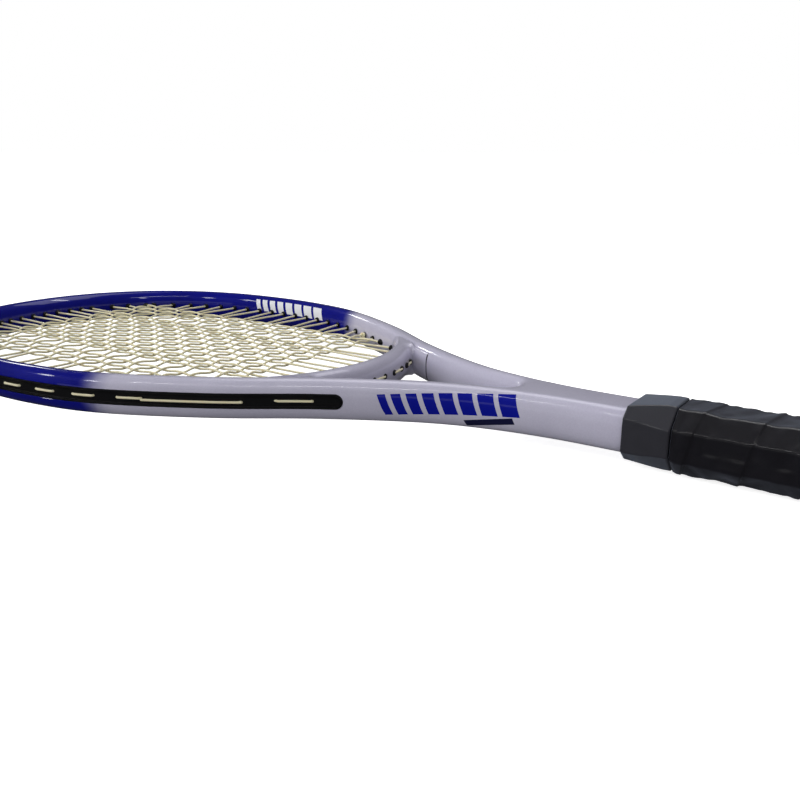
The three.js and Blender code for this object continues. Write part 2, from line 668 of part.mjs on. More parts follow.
function buttCap() {
  const outside = handleLoft([[0, 39, 33], [1.5, 41, 35], [4, 41, 35], [6, 37.4, 31.4], [11, ...CAP_SKIRT],
    [27, ...CAP_SKIRT]]);
  const inside = handleLoft([[PALLET_SPAN[0] - GAP, PALLET_SIZE[0] + 2 * GAP, PALLET_SIZE[1] + 2 * GAP],
    [28, PALLET_SIZE[0] + 2 * GAP, PALLET_SIZE[1] + 2 * GAP]]);
  return toGeometry(outside.subtract(inside).subtract(staple(1, GAP)).subtract(staple(-1, GAP)));
}

const WRAP_THIN = [32.9, 27.1];        // the wrap's tapered end under the tape and the collar
function gripWrap() {
  const outside = handleLoft([[6.4, 41, 35], [9, 40.2, 34.4], [15, 38.4, 33], [24, 37, 31.6], [34, 36, 30.4],
    [46, ...GRIP_SIZE], [150, ...GRIP_SIZE], [160, 36.4, 30.8], [168, 36.4, 30.8], [168.6, ...WRAP_THIN],
    [178, 31.9, 26.1]]);
  const inside = handleLoft([[6, 38.6, 32.6], [11.6, 34.8, 30.2], [29, 34.8, 30.2],
    [34, 32.1, 26.3], [167, 32.0, 26.2], [172.6, 30.2, 24.4], [178.5, 30.2, 24.4]]);
  return toGeometry(outside.subtract(inside));
}

function finishingTape() {
  const outside = handleLoft([[169, 34.2, 28.4], [177, 33.8, 28.0]]);
  const inside = handleLoft([[168.6, 33.6, 27.8], [177.4, 33.2, 27.4]]);
  return toGeometry(outside.subtract(inside));
}

function gripCollar() {
  const [rear, front] = COLLAR_SPAN;
  const shaftHalf = SHAFT_STATIONS[0][1] + COLLAR_SLIDE_ROOM;
  const outside = handleLoft([[rear, 36.6, 30.6], [rear + 4, 37, 31], [front - 8, 35.8, 28.4, 0.6, 0.55],
    [front, 34.8, 25.8, 0.7, 0.62]]);
  const inside = handleLoft([[rear - 1, 34.9, 29.1], [rear + 9, 34.9, 29.1],
    [front - 9, 2 * shaftHalf, 24.2, 0.7, 0.68], [front + 1, 2 * shaftHalf, 23.4, 0.74, 0.7]]);
  return toGeometry(outside.subtract(inside));
}

// ---- the assembly -------------------------------------------------------------------------
addPiece('frame', frame(), 0xb4afc2, 0.25);
addPiece('throat_bridge', throatBridge(), 0xb4afc2, 0.25);
addPiece('side_grommet_strip_left', sideStrip(1), 0x18181b, 0.5);
addPiece('side_grommet_strip_right', sideStrip(-1), 0x18181b, 0.5);
addPiece('bumper_guard', bumperGuard(), 0x18181b, 0.5);
for (const [i, hole] of bridgeHoles().entries()) {
  const side = hole.y > 0 ? 'left' : 'right';
  addPiece(`bridge_grommet_${side}_${(i % BRIDGE_MAINS) + 1}`, bridgeGrommet(hole), 0x18181b, 0.5);
}
addPiece('main_string', mainString(), 0xd8d3c0, 0.4);
addPiece('cross_string', crossString(), 0xd8d3c0, 0.4);
addPiece('handle_pallet_upper', palletHalf(1), 0x8c8578, 0.8);
addPiece('handle_pallet_lower', palletHalf(-1), 0x8c8578, 0.8);
addPiece('butt_cap', buttCap(), 0x1c1c20, 0.4);
addPiece('butt_staple_upper', toGeometry(staple(1)), 0xa0a0a0, 0.35, 1);
addPiece('butt_staple_lower', toGeometry(staple(-1)), 0xa0a0a0, 0.35, 1);
addPiece('grip_wrap', gripWrap(), 0x1c1b21, 0.7);
addPiece('finishing_tape', finishingTape(), 0x101012, 0.4);
addPiece('grip_collar', gripCollar(), 0x323237, 0.6);

export default group;
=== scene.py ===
"""The looks of a strung tennis racket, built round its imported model.

Metres, in the model's own frame: the butt's end face is at X = 0, +X runs to the tip of the head,
and the strings lie in the plane Z = 0. Sizes below are in millimetres until a mesh is made."""

import math

import bmesh
import bpy
import numpy as np
from mathutils import Matrix, Vector, noise


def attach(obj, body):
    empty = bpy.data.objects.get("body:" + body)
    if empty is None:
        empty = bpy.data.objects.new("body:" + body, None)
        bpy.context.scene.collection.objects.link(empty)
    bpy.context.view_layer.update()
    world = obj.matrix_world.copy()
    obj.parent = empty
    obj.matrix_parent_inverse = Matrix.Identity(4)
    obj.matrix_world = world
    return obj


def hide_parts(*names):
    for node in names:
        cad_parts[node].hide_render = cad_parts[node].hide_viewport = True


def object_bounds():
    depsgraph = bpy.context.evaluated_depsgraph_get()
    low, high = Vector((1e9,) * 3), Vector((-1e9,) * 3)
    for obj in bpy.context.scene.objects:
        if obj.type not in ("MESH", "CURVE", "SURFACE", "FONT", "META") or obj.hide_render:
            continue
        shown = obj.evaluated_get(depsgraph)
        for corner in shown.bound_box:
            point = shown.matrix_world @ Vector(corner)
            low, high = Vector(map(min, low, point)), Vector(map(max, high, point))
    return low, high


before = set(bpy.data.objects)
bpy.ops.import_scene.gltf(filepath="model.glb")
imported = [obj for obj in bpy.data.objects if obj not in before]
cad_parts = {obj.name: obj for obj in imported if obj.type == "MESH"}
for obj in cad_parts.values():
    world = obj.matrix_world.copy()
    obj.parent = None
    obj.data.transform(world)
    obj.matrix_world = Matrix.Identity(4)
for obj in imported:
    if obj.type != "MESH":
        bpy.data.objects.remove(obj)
cad_box = [list(corner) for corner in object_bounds()]

MM = 0.001

# ---- camera, floor and light ---------------------------------------------------------------
CAMERA_PLACE = (0.0668, 0.3774, 0.1251)
CAMERA_HEADING = math.radians(-55.48)     # from +X toward -Y
CAMERA_DIP = math.radians(16.48)
CAMERA_ROLL = math.radians(0.233)
LENS_MM = 38.0
SENSOR_MM = 36.0


def aim_camera():
    ahead = Vector((math.cos(CAMERA_DIP) * math.cos(CAMERA_HEADING),
                    math.cos(CAMERA_DIP) * math.sin(CAMERA_HEADING), -math.sin(CAMERA_DIP)))
    level = ahead.cross(Vector((0, 0, 1))).normalized()
    lift = level.cross(ahead)
    right = level * math.cos(CAMERA_ROLL) + lift * math.sin(CAMERA_ROLL)
    up = lift * math.cos(CAMERA_ROLL) - level * math.sin(CAMERA_ROLL)
    data = bpy.data.cameras.new("camera")
    data.lens = LENS_MM
    data.sensor_width = SENSOR_MM
    data.clip_start = 0.01
    camera = bpy.data.objects.new("camera", data)
    turn = Matrix((right, up, -ahead)).transposed().to_4x4()
    camera.matrix_world = Matrix.Translation(CAMERA_PLACE) @ turn
    bpy.context.scene.collection.objects.link(camera)
    bpy.context.scene.camera = camera


aim_camera()


def linear(code):
    """An sRGB hex colour such as '8a8a8a' as linear red, green, blue and a full alpha."""
    parts = [int(code[i:i + 2], 16) / 255 for i in (0, 2, 4)]
    return [c / 12.92 if c <= 0.04045 else ((c + 0.055) / 1.055) ** 2.4 for c in parts] + [1.0]


def add(tree, kind, inputs=None, **settings):
    """Adds a node; an input is either a value or another node's output to link from."""
    made = tree.nodes.new(kind)
    for key, value in settings.items():
        setattr(made, key, value)
    for key, value in (inputs or {}).items():
        if isinstance(value, bpy.types.NodeSocket):
            tree.links.new(value, made.inputs[key])
        else:
            made.inputs[key].default_value = value
    return made


def new_material(name):
    """A material with a Principled shader linked to its output."""
    made = bpy.data.materials.new(name)
    made.use_nodes = True
    tree = made.node_tree
    tree.nodes.clear()
    shader = add(tree, "ShaderNodeBsdfPrincipled")
    add(tree, "ShaderNodeOutputMaterial", {"Surface": shader.outputs[0]})
    return made, tree, shader


def area_light(name, place, target, size, watts, colour="ffffff", mirrored=True):
    data = bpy.data.lights.new(name, "AREA")
    data.shape = "RECTANGLE"
    data.size, data.size_y = size
    data.energy = watts
    data.color = linear(colour)[:3]
    lamp = bpy.data.objects.new(name, data)
    lamp.location = place
    lamp.rotation_euler = (Vector(target) - Vector(place)).to_track_quat("-Z", "Y").to_euler()
    lamp.visible_glossy = mirrored
    bpy.context.scene.collection.objects.link(lamp)


LAMP_AIM = Vector((0.35, 0.0, 0.0))
LAMP_DISTANCE = 1.6
LAMP_SIZE = (0.14, 0.14)
LAMP_WATTS = 0.7


def small_lamp(name, heading, height):
    """A small bare lamp, seen from the middle of the racket at two angles in degrees."""
    turn, rise = math.radians(heading), math.radians(height)
    way = Vector((math.cos(turn) * math.cos(rise), math.sin(turn) * math.cos(rise), math.sin(rise)))
    area_light(name, LAMP_AIM + way * LAMP_DISTANCE, LAMP_AIM, LAMP_SIZE, LAMP_WATTS)


def light_world():
    """A white room to look at, which itself gives only a dim even light, less from below, and
    is dimmer still in the gloss of the paint."""
    world = bpy.data.worlds.new("studio")
    bpy.context.scene.world = world
    world.use_nodes = True
    tree = world.node_tree
    tree.nodes.clear()
    place = add(tree, "ShaderNodeTexCoord")
    split = add(tree, "ShaderNodeSeparateXYZ", {"Vector": place.outputs["Generated"]})
    height = add(tree, "ShaderNodeMapRange", {"Value": split.outputs["Z"], "From Min": -0.35,
                                              "From Max": 0.0, "To Min": 0.16, "To Max": 0.24})
    ray = add(tree, "ShaderNodeLightPath")
    dimmer = add(tree, "ShaderNodeMapRange", {"Value": ray.outputs["Is Glossy Ray"], "To Min": 1.0,
                                              "To Max": 0.2})
    strength = add(tree, "ShaderNodeMath", {0: height.outputs[0], 1: dimmer.outputs[0]},
                   operation="MULTIPLY")
    dim = add(tree, "ShaderNodeBackground", {"Strength": strength.outputs[0],
                                             "Color": linear("ffffff")})
    bright = add(tree, "ShaderNodeBackground", {"Strength": 1.0, "Color": linear("ffffff")})
    seen = add(tree, "ShaderNodeMixShader", {0: ray.outputs["Is Camera Ray"], 1: dim.outputs[0],
                                             2: bright.outputs[0]})
    add(tree, "ShaderNodeOutputWorld", {"Surface": seen.outputs[0]})


def lay_floor():
    """Matt white studio paper, wide enough to run past the horizon's haze."""
    made, tree, shader = new_material("matt_white_paper")
    place = add(tree, "ShaderNodeTexCoord")
    grain = add(tree, "ShaderNodeTexNoise", {"Vector": place.outputs["Object"], "Scale": 12.0})
    tone = add(tree, "ShaderNodeMix", {0: grain.outputs[0], 6: linear("fafafa"), 7: linear("fdfdfd")},
               data_type="RGBA")
    tree.links.new(tone.outputs[2], shader.inputs["Base Color"])
    shader.inputs["Roughness"].default_value = 0.9
    shader.inputs["Emission Color"].default_value = linear("ffffff")
    shader.inputs["Emission Strength"].default_value = 0.82
    low, reach = cad_box[0][2], 40.0
    mesh = bpy.data.meshes.new("studio_floor")
    mesh.from_pydata([(x * reach, y * reach, low) for x, y in ((-1, -1), (1, -1), (1, 1), (-1, 1))],
                     [], [(0, 1, 2, 3)])
    mesh.materials.append(made)
    floor = bpy.data.objects.new("studio_floor", mesh)
    floor.visible_diffuse = False
    floor.visible_glossy = False
    bpy.context.scene.collection.objects.link(floor)


light_world()
lay_floor()
area_light("overhead_box", (0.35, -0.45, 1.25), (0.35, 0.0, 0.0), (1.5, 0.8), 5.4)
area_light("front_box", (1.9, 1.1, 0.6), (0.3, 0.0, 0.0), (2.0, 1.2), 22.0, mirrored=False)
area_light("low_fill", (-0.3, 0.75, 0.02), (0.25, 0.0, 0.0), (0.5, 0.3), 1.7, mirrored=False)
area_light("back_strip", (0.15, -0.5, 1.2), (0.25, 0.0, 0.0), (0.9, 0.04), 1.4)
area_light("edge_strip", (0.1, 0.95, 0.98), (0.12, 0.0, 0.0), (1.1, 0.03), 1.5)
area_light("front_card", (0.4, 1.3, 0.12), (0.3, 0.0, 0.0), (1.4, 0.15), 0.3)
small_lamp("lamp_front_right", 42, 30)
small_lamp("lamp_front", 66, 34)
small_lamp("lamp_far_right", -16, 26)
small_lamp("lamp_left", 119, 34)
bpy.context.scene.view_settings.view_transform = "Standard"

# ---- the racket's plan, repeated from its part file ------------------------------------------
WIDEST_X = 527.0
HALF_WIDTH = 130.0
TIP_REACH = 156.7
TIP_POWER = 2.15
SHAFT_STATIONS = [(190, 15.1), (227, 16.2), (257, 20.6), (287, 29.5), (337, 55.6), (387, 89.0),
                  (447, 118.8), (487, 127.7)]
NECK_END_X = 176.0
NECK_START_X = 150.0
NECK_SCALE = 0.87
NECK_HALF_WIDTH = 13.2
BEAM_WIDTH = 14.2
BEAM_HEIGHT = 22.0
BEAM_POWER = 2.3
HALF_BEAM = BEAM_WIDTH / 2
HALF_RISE = BEAM_HEIGHT / 2
GROOVE_HALF = 4.2
GROOVE_DEPTH = 3.2
GROOVE_END_X = 327.6
BUMPER_END_X = 613.0
LOOP_DEPTH = 1.0
CHANNEL_FLOOR = 1.75
MAIN_OFFSETS = (5.2, 15.6, 25.8, 34.6, 42.6, 57.0, 67.5, 78.0)
BRIDGE_MAINS = 5
CROSS_COUNT = 19
BRIDGE_X = 346.5
BRIDGE_RADIUS = 105.0
BRIDGE_WIDTH = 12.5
BRIDGE_CENTRE_X = BRIDGE_X + BRIDGE_RADIUS
BRIDGE_THROAT_RADIUS = BRIDGE_RADIUS + BRIDGE_WIDTH / 2
BRIDGE_HEAD_RADIUS = BRIDGE_RADIUS - BRIDGE_WIDTH / 2
FIRST_CROSS_X = 407
CROSS_PITCH = 12.2
CROSS_SPREAD = 0.02            # the pitch grows toward the tip


def cross_x(j):
    return FIRST_CROSS_X + CROSS_PITCH * j + CROSS_SPREAD * j * j


def smoothly_through(points, steps):
    """Centripetal Catmull-Rom points through a row of points."""
    row = np.array(points, float)
    row = np.vstack([2 * row[0] - row[1], row, 2 * row[-1] - row[-2]])
    found = []
    for i in range(1, len(row) - 2):
        p0, p1, p2, p3 = row[i - 1:i + 3]
        d0, d1, d2 = (np.linalg.norm(b - a) ** 0.5 for a, b in ((p0, p1), (p1, p2), (p2, p3)))
        t1 = ((p1 - p0) / d0 - (p2 - p0) / (d0 + d1) + (p2 - p1) / d1) * d1
        t2 = ((p2 - p1) / d1 - (p3 - p1) / (d1 + d2) + (p3 - p2) / d2) * d1
        for n in range(steps):
            t = n / steps
            found.append(p1 + t1 * t + (3 * p2 - 3 * p1 - 2 * t1 - t2) * t ** 2
                         + (2 * p1 - 2 * p2 + t1 + t2) * t ** 3)
    found.append(row[-2])
    return np.array(found)


HEAD_STEPS = 5                 # stations round each quarter of the head
EDGE_STEPS = 60                # points between two stations


class Edge:
    """The hoop's outside edge in the plan, measured along its length from the +Y shaft."""

    def __init__(self):
        half = list(SHAFT_STATIONS)
        for i in range(HEAD_STEPS + 1):
            turn = math.pi / 2 * i / HEAD_STEPS
            half.append((WIDEST_X + TIP_REACH * math.sin(turn) ** (2 / TIP_POWER),
                         HALF_WIDTH * max(math.cos(turn), 0.0) ** (2 / TIP_POWER)))
        whole = half + [(x, -y) for x, y in reversed(half[:-1])]
        self.points = smoothly_through(whole, EDGE_STEPS)
        step = np.diff(self.points, axis=0)
        self.along = np.concatenate([[0], np.cumsum(np.hypot(step[:, 0], step[:, 1]))])
        way = np.gradient(self.points, self.along, axis=0)
        way /= np.linalg.norm(way, axis=1)[:, None]
        self.out = np.column_stack([-way[:, 1], way[:, 0]])
        self.out[0] = (0, 1)
        self.out[-1] = (0, -1)
        self.length = self.along[-1]

    def point(self, s):
        return np.array([np.interp(s, self.along, self.points[:, i]) for i in (0, 1)])

    def outward(self, s):
        out = np.array([np.interp(s, self.along, self.out[:, i]) for i in (0, 1)])
        return out / np.linalg.norm(out)

    def below(self, s, depth, height=0.0):
        p = self.point(s) - self.outward(s) * depth
        return np.array([p[0], p[1], height])

    def crossing(self, axis, value, depth, end):
        """Where the copy of the edge at a depth meets X = value (axis 0) or Y = value (axis 1):
        the place along the edge, taking the crossing furthest toward end on the other axis."""
        line = self.points - self.out * depth
        gap = line[:, axis] - value
        found = []
        for i in np.nonzero(gap[:-1] * gap[1:] <= 0)[0]:
            if gap[i] == gap[i + 1]:
                continue
            share = gap[i] / (gap[i] - gap[i + 1])
            other = line[i, 1 - axis] + share * (line[i + 1, 1 - axis] - line[i, 1 - axis])
            found.append((end * other, self.along[i] + share * (self.along[i + 1] - self.along[i])))
        return max(found)[1]


edge = Edge()


def surface_depth(height):
    """How far the tube's rounded side lies below the outside edge at a height."""
    rise = max(1 - (abs(height) / HALF_RISE) ** BEAM_POWER, 0.0)
    return HALF_BEAM * (1 - rise ** (1 / BEAM_POWER))


def groove_half(s, end_s):
    """Half the groove's height: full along the hoop, closing to a round end at end_s."""
    run = min(s, edge.length - s) - end_s
    if run <= 0:
        return 0.0
    share = min(run / GROOVE_HALF, 1.0)
    return GROOVE_HALF * math.sqrt(1 - (1 - share) ** 2)


# ---- meshes ------------------------------------------------------------------------------------
def skin(rings, loop=False):
    """A surface through rings that all hold the same number of points. It is closed by a face at
    each end, or by joining its last ring to its first."""
    count = len(rings[0])
    verts = [tuple(p) for ring in rings for p in ring]
    faces = []
    rows = len(rings)
    for r in range(rows if loop else rows - 1):
        s = (r + 1) % rows
        for i in range(count):
            j = (i + 1) % count
            faces.append((r * count + i, r * count + j, s * count + j, s * count + i))
    if not loop:
        faces.append(tuple(reversed(range(count))))
        faces.append(tuple((rows - 1) * count + i for i in range(count)))
    return verts, faces


def join(*shapes):
    """Several (verts, faces) shapes as one."""
    verts, faces = [], []
    for v, f in shapes:
        start = len(verts)
        verts.extend(v)
        faces.extend(tuple(i + start for i in face) for face in f)
    return verts, faces


def make_piece(name, shape, material, body="racket", stands_for=(), sharp=40, marks=None):
    """A finished piece from a shape in millimetres. Its doubles are merged, its faces point
    outwards and only edges steeper than sharp degrees stay hard."""
    verts, faces = shape
    mesh = bpy.data.meshes.new(name)
    mesh.from_pydata([(x * MM, y * MM, z * MM) for x, y, z in verts], [], faces)
    for key, values in (marks or {}).items():
        mark = mesh.attributes.new(key, "FLOAT", "POINT")
        mark.data.foreach_set("value", np.array(values, np.float32))
    shell = bmesh.new()
    shell.from_mesh(mesh)
    bmesh.ops.remove_doubles(shell, verts=shell.verts, dist=2e-6)
    bmesh.ops.dissolve_degenerate(shell, edges=shell.edges, dist=1e-6)
    bmesh.ops.triangulate(shell, faces=[f for f in shell.faces if len(f.verts) > 4])
    bmesh.ops.recalc_face_normals(shell, faces=shell.faces)
    shell.to_mesh(mesh)
    shell.free()
    mesh.shade_smooth()
    mesh.set_sharp_from_angle(angle=math.radians(sharp))
    mesh.materials.append(material)
    piece = bpy.data.objects.new(name, mesh)
    bpy.context.scene.collection.objects.link(piece)
    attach(piece, body)
    if stands_for:
        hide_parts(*stands_for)
    return piece


# ---- materials ---------------------------------------------------------------------------------
def settle(shader, values):
    """Sets what is the same all over a surface."""
    for name, value in values.items():
        shader.inputs[name].default_value = value


def object_axes(tree):
    place = add(tree, "ShaderNodeTexCoord")
    split = add(tree, "ShaderNodeSeparateXYZ", {"Vector": place.outputs["Object"]})
    return place.outputs["Object"], split.outputs


def bars(tree, along, run):
    """1 inside the slanted bars and 0 between them, along a run with these two ends."""
    share = add(tree, "ShaderNodeMapRange", {"Value": along, "From Min": run[0], "From Max": run[1]})
    ramp = add(tree, "ShaderNodeValToRGB", {"Fac": share.outputs[0]})
    ramp.color_ramp.interpolation = "CONSTANT"
    stops = ramp.color_ramp.elements
    stops[0].color = (0, 0, 0, 1)
    stops.remove(stops[1])
    for low, high in BAR_ENDS:
        stops.new(low).color = (1, 1, 1, 1)
        stops.new(high).color = (0, 0, 0, 1)
    return ramp.outputs[0]


def within(tree, value, limits):
    """1 where value lies between two limits."""
    low, high = limits
    middle = add(tree, "ShaderNodeMath", {0: value, 1: (low + high) / 2}, operation="SUBTRACT")
    size = add(tree, "ShaderNodeMath", {0: middle.outputs[0]}, operation="ABSOLUTE")
    return add(tree, "ShaderNodeMath", {0: size.outputs[0], 1: (high - low) / 2},
               operation="LESS_THAN").outputs[0]


# The paint's fade, its plain marks and a painted shade line at the bridge's seam, in metres. Each band
# is a pair of limits.
FADE_X = 0.442
FADE_WIDTH = 0.019
BAR_ENDS = [(0.0, 0.13), (0.165, 0.285), (0.32, 0.425), (0.46, 0.555), (0.59, 0.675), (0.71, 0.785),
            (0.82, 0.885), (0.92, 0.975)]    # eight bars that grow thinner, as shares of their run
BAR_LEAN = -0.36               # the bars lean back by this much of their height
SHAFT_BARS = (0.2425, 0.3125)
SHAFT_BAND, SHAFT_TILT = (0.0172, 0.0283), 0.075
RULE = (0.2470, 0.2735)
RULE_BAND, RULE_TILT = (0.0367, 0.0401), 0.17
HEAD_BARS = (0.4745, 0.5470)
HEAD_BAND = (0.0002, 0.0088)
# Painted shade: a thin darker line on the inner wall where the bridge's arm meets the shaft, standing in
# for the shadow in that joint.
SEAM_SHADE = (0.3323, 0.3331)
SEAM_SHADE_BAND = (-0.0084, 0.0084)


FLAKE_MM = 0.6                 # larger than a real flake, so that its sparkle still shows
CLOUD_MM = 20.0
SPRAY_MM = 6.0
PEEL_MM = 3.5
SPRAY_DRIFT = 0.004            # how far the sprayed fade wanders, in metres


def pearl_paint():
    """Sprayed pearl lacquer under a clear coat: a soft lavender white that fades to deep blue
    over the head, a fine flake sparkle, and a hard mirror gloss with faint orange peel."""
    made, tree, shader = new_material("sprayed_pearl_lacquer")
    place, (x, y, z) = object_axes(tree)
    flake = add(tree, "ShaderNodeTexVoronoi", {"Vector": place, "Scale": 1 / (FLAKE_MM * MM)})
    cloud = add(tree, "ShaderNodeTexNoise", {"Vector": place, "Scale": 1 / (CLOUD_MM * MM),
                                             "Detail": 3.0})
    speck = add(tree, "ShaderNodeMath", {0: flake.outputs["Color"], 1: 0.5}, operation="MULTIPLY")
    tone = add(tree, "ShaderNodeMath", {0: speck.outputs[0], 1: cloud.outputs[0]}, operation="ADD")
    tone = add(tree, "ShaderNodeMapRange", {"Value": tone.outputs[0], "From Min": 0.3, "From Max": 1.1})
    coat, blue = [add(tree, "ShaderNodeMix", {0: tone.outputs[0], 6: linear(low), 7: linear(high)},
                      data_type="RGBA").outputs[2]
                  for low, high in (("c6c3d8", "d1cee2"), ("010578", "020a90"))]
    spray = add(tree, "ShaderNodeTexNoise", {"Vector": place, "Scale": 1 / (SPRAY_MM * MM),
                                             "Detail": 4.0})
    drift = add(tree, "ShaderNodeMath", {0: spray.outputs[0], 1: SPRAY_DRIFT, 2: -SPRAY_DRIFT / 2},
                operation="MULTIPLY_ADD")
    edge_x = add(tree, "ShaderNodeMath", {0: x, 1: drift.outputs[0]}, operation="ADD")
    fade = add(tree, "ShaderNodeMapRange",
               {"Value": edge_x.outputs[0], "From Min": FADE_X - FADE_WIDTH / 2,
                "From Max": FADE_X + FADE_WIDTH / 2}, interpolation_type="SMOOTHSTEP")
    wall = add(tree, "ShaderNodeAttribute", attribute_name="outer_wall").outputs["Fac"]
    outside = add(tree, "ShaderNodeMath", {0: wall, 1: 0.5}, operation="GREATER_THAN").outputs[0]
    inside = add(tree, "ShaderNodeMath", {0: 1.0, 1: outside}, operation="SUBTRACT").outputs[0]
    lean, tilt, steep = [add(tree, "ShaderNodeMath", {0: a, 1: slope, 2: b},
                             operation="MULTIPLY_ADD").outputs[0]
                         for a, slope, b in ((z, BAR_LEAN, x), (x, SHAFT_TILT, z), (x, RULE_TILT, z))]
    # Each colour is laid over the last one where all of its masks are 1.
    layers = [
        ((fade.outputs[0],), blue),
        ((bars(tree, lean, SHAFT_BARS), within(tree, tilt, SHAFT_BAND), outside), linear("03109a")),
        ((within(tree, lean, RULE), within(tree, steep, RULE_BAND), outside), linear("14173f")),
        ((bars(tree, lean, HEAD_BARS), within(tree, z, HEAD_BAND), inside), linear("f4f5fb")),
        # Painted shade along the seam between the bridge's arm and the shaft's inner wall.
        ((within(tree, x, SEAM_SHADE), within(tree, z, SEAM_SHADE_BAND), inside), linear("55525f")),
    ]
    for masks, colour in layers:
        share = masks[0]
        for mask in masks[1:]:
            share = add(tree, "ShaderNodeMath", {0: share, 1: mask}, operation="MULTIPLY").outputs[0]
        coat = add(tree, "ShaderNodeMix", {0: share, 6: coat, 7: colour}, data_type="RGBA").outputs[2]
    tree.links.new(coat, shader.inputs["Base Color"])
    peel = add(tree, "ShaderNodeTexNoise", {"Vector": place, "Scale": 1 / (PEEL_MM * MM), "Detail": 1.0})
    bump = add(tree, "ShaderNodeBump", {"Height": peel.outputs[0], "Strength": 0.06, "Distance": 0.0002})
    tree.links.new(bump.outputs[0], shader.inputs["Normal"])
    tree.links.new(bump.outputs[0], shader.inputs["Coat Normal"])
    settle(shader, {"Metallic": 0.1, "Roughness": 0.4, "Specular IOR Level": 0.12, "Coat Weight": 1.0,
                    "Coat Roughness": 0.05})
    return made


MOTTLE_MM = 9.0                # how wide the two tones of a moulding lie apart


def moulded(name, dark, light, roughness, grain_mm, depth_mm, surface=None):
    """A moulded material: two near tones, a fine moulded grain and a dull gloss."""
    made, tree, shader = new_material(name)
    place, _ = object_axes(tree)
    mottle = add(tree, "ShaderNodeTexNoise", {"Vector": place, "Scale": 1 / (MOTTLE_MM * MM),
                                              "Detail": 4.0})
    tone = add(tree, "ShaderNodeMix", {0: mottle.outputs[0], 6: linear(dark), 7: linear(light)},
               data_type="RGBA")
    tree.links.new(tone.outputs[2], shader.inputs["Base Color"])
    grain = add(tree, "ShaderNodeTexNoise", {"Vector": place, "Scale": 1 / (grain_mm * MM),
                                             "Detail": 2.0})
    rough = add(tree, "ShaderNodeMapRange", {"Value": grain.outputs[0], "To Min": roughness - 0.08,
                                             "To Max": roughness + 0.1})
    tree.links.new(rough.outputs[0], shader.inputs["Roughness"])
    bump = add(tree, "ShaderNodeBump", {"Height": grain.outputs[0], "Strength": 0.5,
                                        "Distance": depth_mm * MM})
    tree.links.new(bump.outputs[0], shader.inputs["Normal"])
    settle(shader, surface or {})
    return made


PAINT = pearl_paint()
# Injection-moulded nylon: near black, low grain, a dull shine along its rims.
NYLON = moulded("injection_moulded_nylon", "08080b", "0f0f12", 0.42, 0.4, 0.02)
# Extruded nylon: warm cream, a little light passes into it, and its skin is lightly ridged.
STRING = moulded("extruded_cream_nylon", "f0e6bd", "fdf6d6", 0.34, 0.5, 0.03,
                 {"Subsurface Weight": 0.15, "Subsurface Radius": (0.0012, 0.001, 0.0007),
                  "Coat Weight": 0.3})
# Tacky polyurethane wrap: near black, a fine pebbled skin, and a greasy grey-blue sheen.
WRAP = moulded("pebbled_polyurethane_wrap", "110f14", "1b1a20", 0.4, 0.7, 0.04,
               {"Specular IOR Level": 0.3, "Sheen Weight": 0.7, "Sheen Roughness": 0.4,
                "Sheen Tint": linear("8c93a6"), "Coat Weight": 0.65, "Coat Roughness": 0.19})
# Stretched vinyl tape: smooth, dark and a little shinier than the wrap.
TAPE = moulded("stretched_vinyl_tape", "0f0f11", "19191c", 0.3, 1.2, 0.03)
# Moulded soft rubber: smooth charcoal with a wide pale sheen and a thin shine on its edges.
RUBBER = moulded("moulded_soft_rubber", "2c2c32", "35353c", 0.38, 0.35, 0.008,
                 {"Sheen Weight": 1.0, "Sheen Roughness": 0.35, "Sheen Tint": linear("b4bfd6"),
                  "Coat Weight": 0.5, "Coat Roughness": 0.12})
# Moulded ABS: black, slightly glossy, with a spark-eroded grain.
CAP_PLASTIC = moulded("spark_grained_abs", "141417", "1f1f23", 0.4, 0.35, 0.03)
# Self-skinned polyurethane foam: tan, open pores, quite matt.
FOAM = moulded("self_skinned_foam", "7d7668", "9c9483", 0.8, 0.6, 0.15)
# Zinc-plated wire: bright grey metal drawn along its length, softly reflecting.
STEEL = moulded("zinc_plated_wire", "9c9fa3", "c0c2c4", 0.3, 0.2, 0.01, {"Metallic": 1.0})

# ---- frame -------------------------------------------------------------------------------------
FORK_JOIN_X = 258.5            # the inner walls start here, where the crotch's circle meets them
STATION_COUNT = 520
OUTER_STEPS = 16
INNER_STEPS = 20
CROTCH_STEPS = 28
LIP_BREAK = 0.18               # the groove's two lips are broken by this much
FULL_SIZE_X = SHAFT_STATIONS[0][0]


def side_profile(scale, half):
    """The tube's outer half from the top crest to the bottom crest as (depth, height) pairs, with
    a groove of that half height cut into the middle of it."""
    top = []
    lip_break = LIP_BREAK if half > 0.3 else 0.0
    lip_height = half + lip_break
    for i in range(OUTER_STEPS + 1):
        turn = math.pi / 2 * (1 - i / OUTER_STEPS)
        height = HALF_RISE * math.sin(turn) ** (2 / BEAM_POWER)
        height = lip_height + (HALF_RISE - lip_height) * (height / HALF_RISE)
        top.append((surface_depth(height), height))
    deep = GROOVE_DEPTH if half > 0 else surface_depth(0)
    top += [(surface_depth(half) + lip_break, half), (deep, half)]
    return [(u * scale, v * scale) for u, v in top + [(u, -v) for u, v in reversed(top)]]


def inner_profile(scale):
    """The tube's inner half, without its two crests."""
    found = []
    for i in range(1, INNER_STEPS):
        turn = math.pi / 2 - math.pi * i / INNER_STEPS
        height = HALF_RISE * math.copysign(abs(math.sin(turn)) ** (2 / BEAM_POWER), math.sin(turn))
        found.append(((BEAM_WIDTH - surface_depth(height)) * scale, height * scale))
    return found


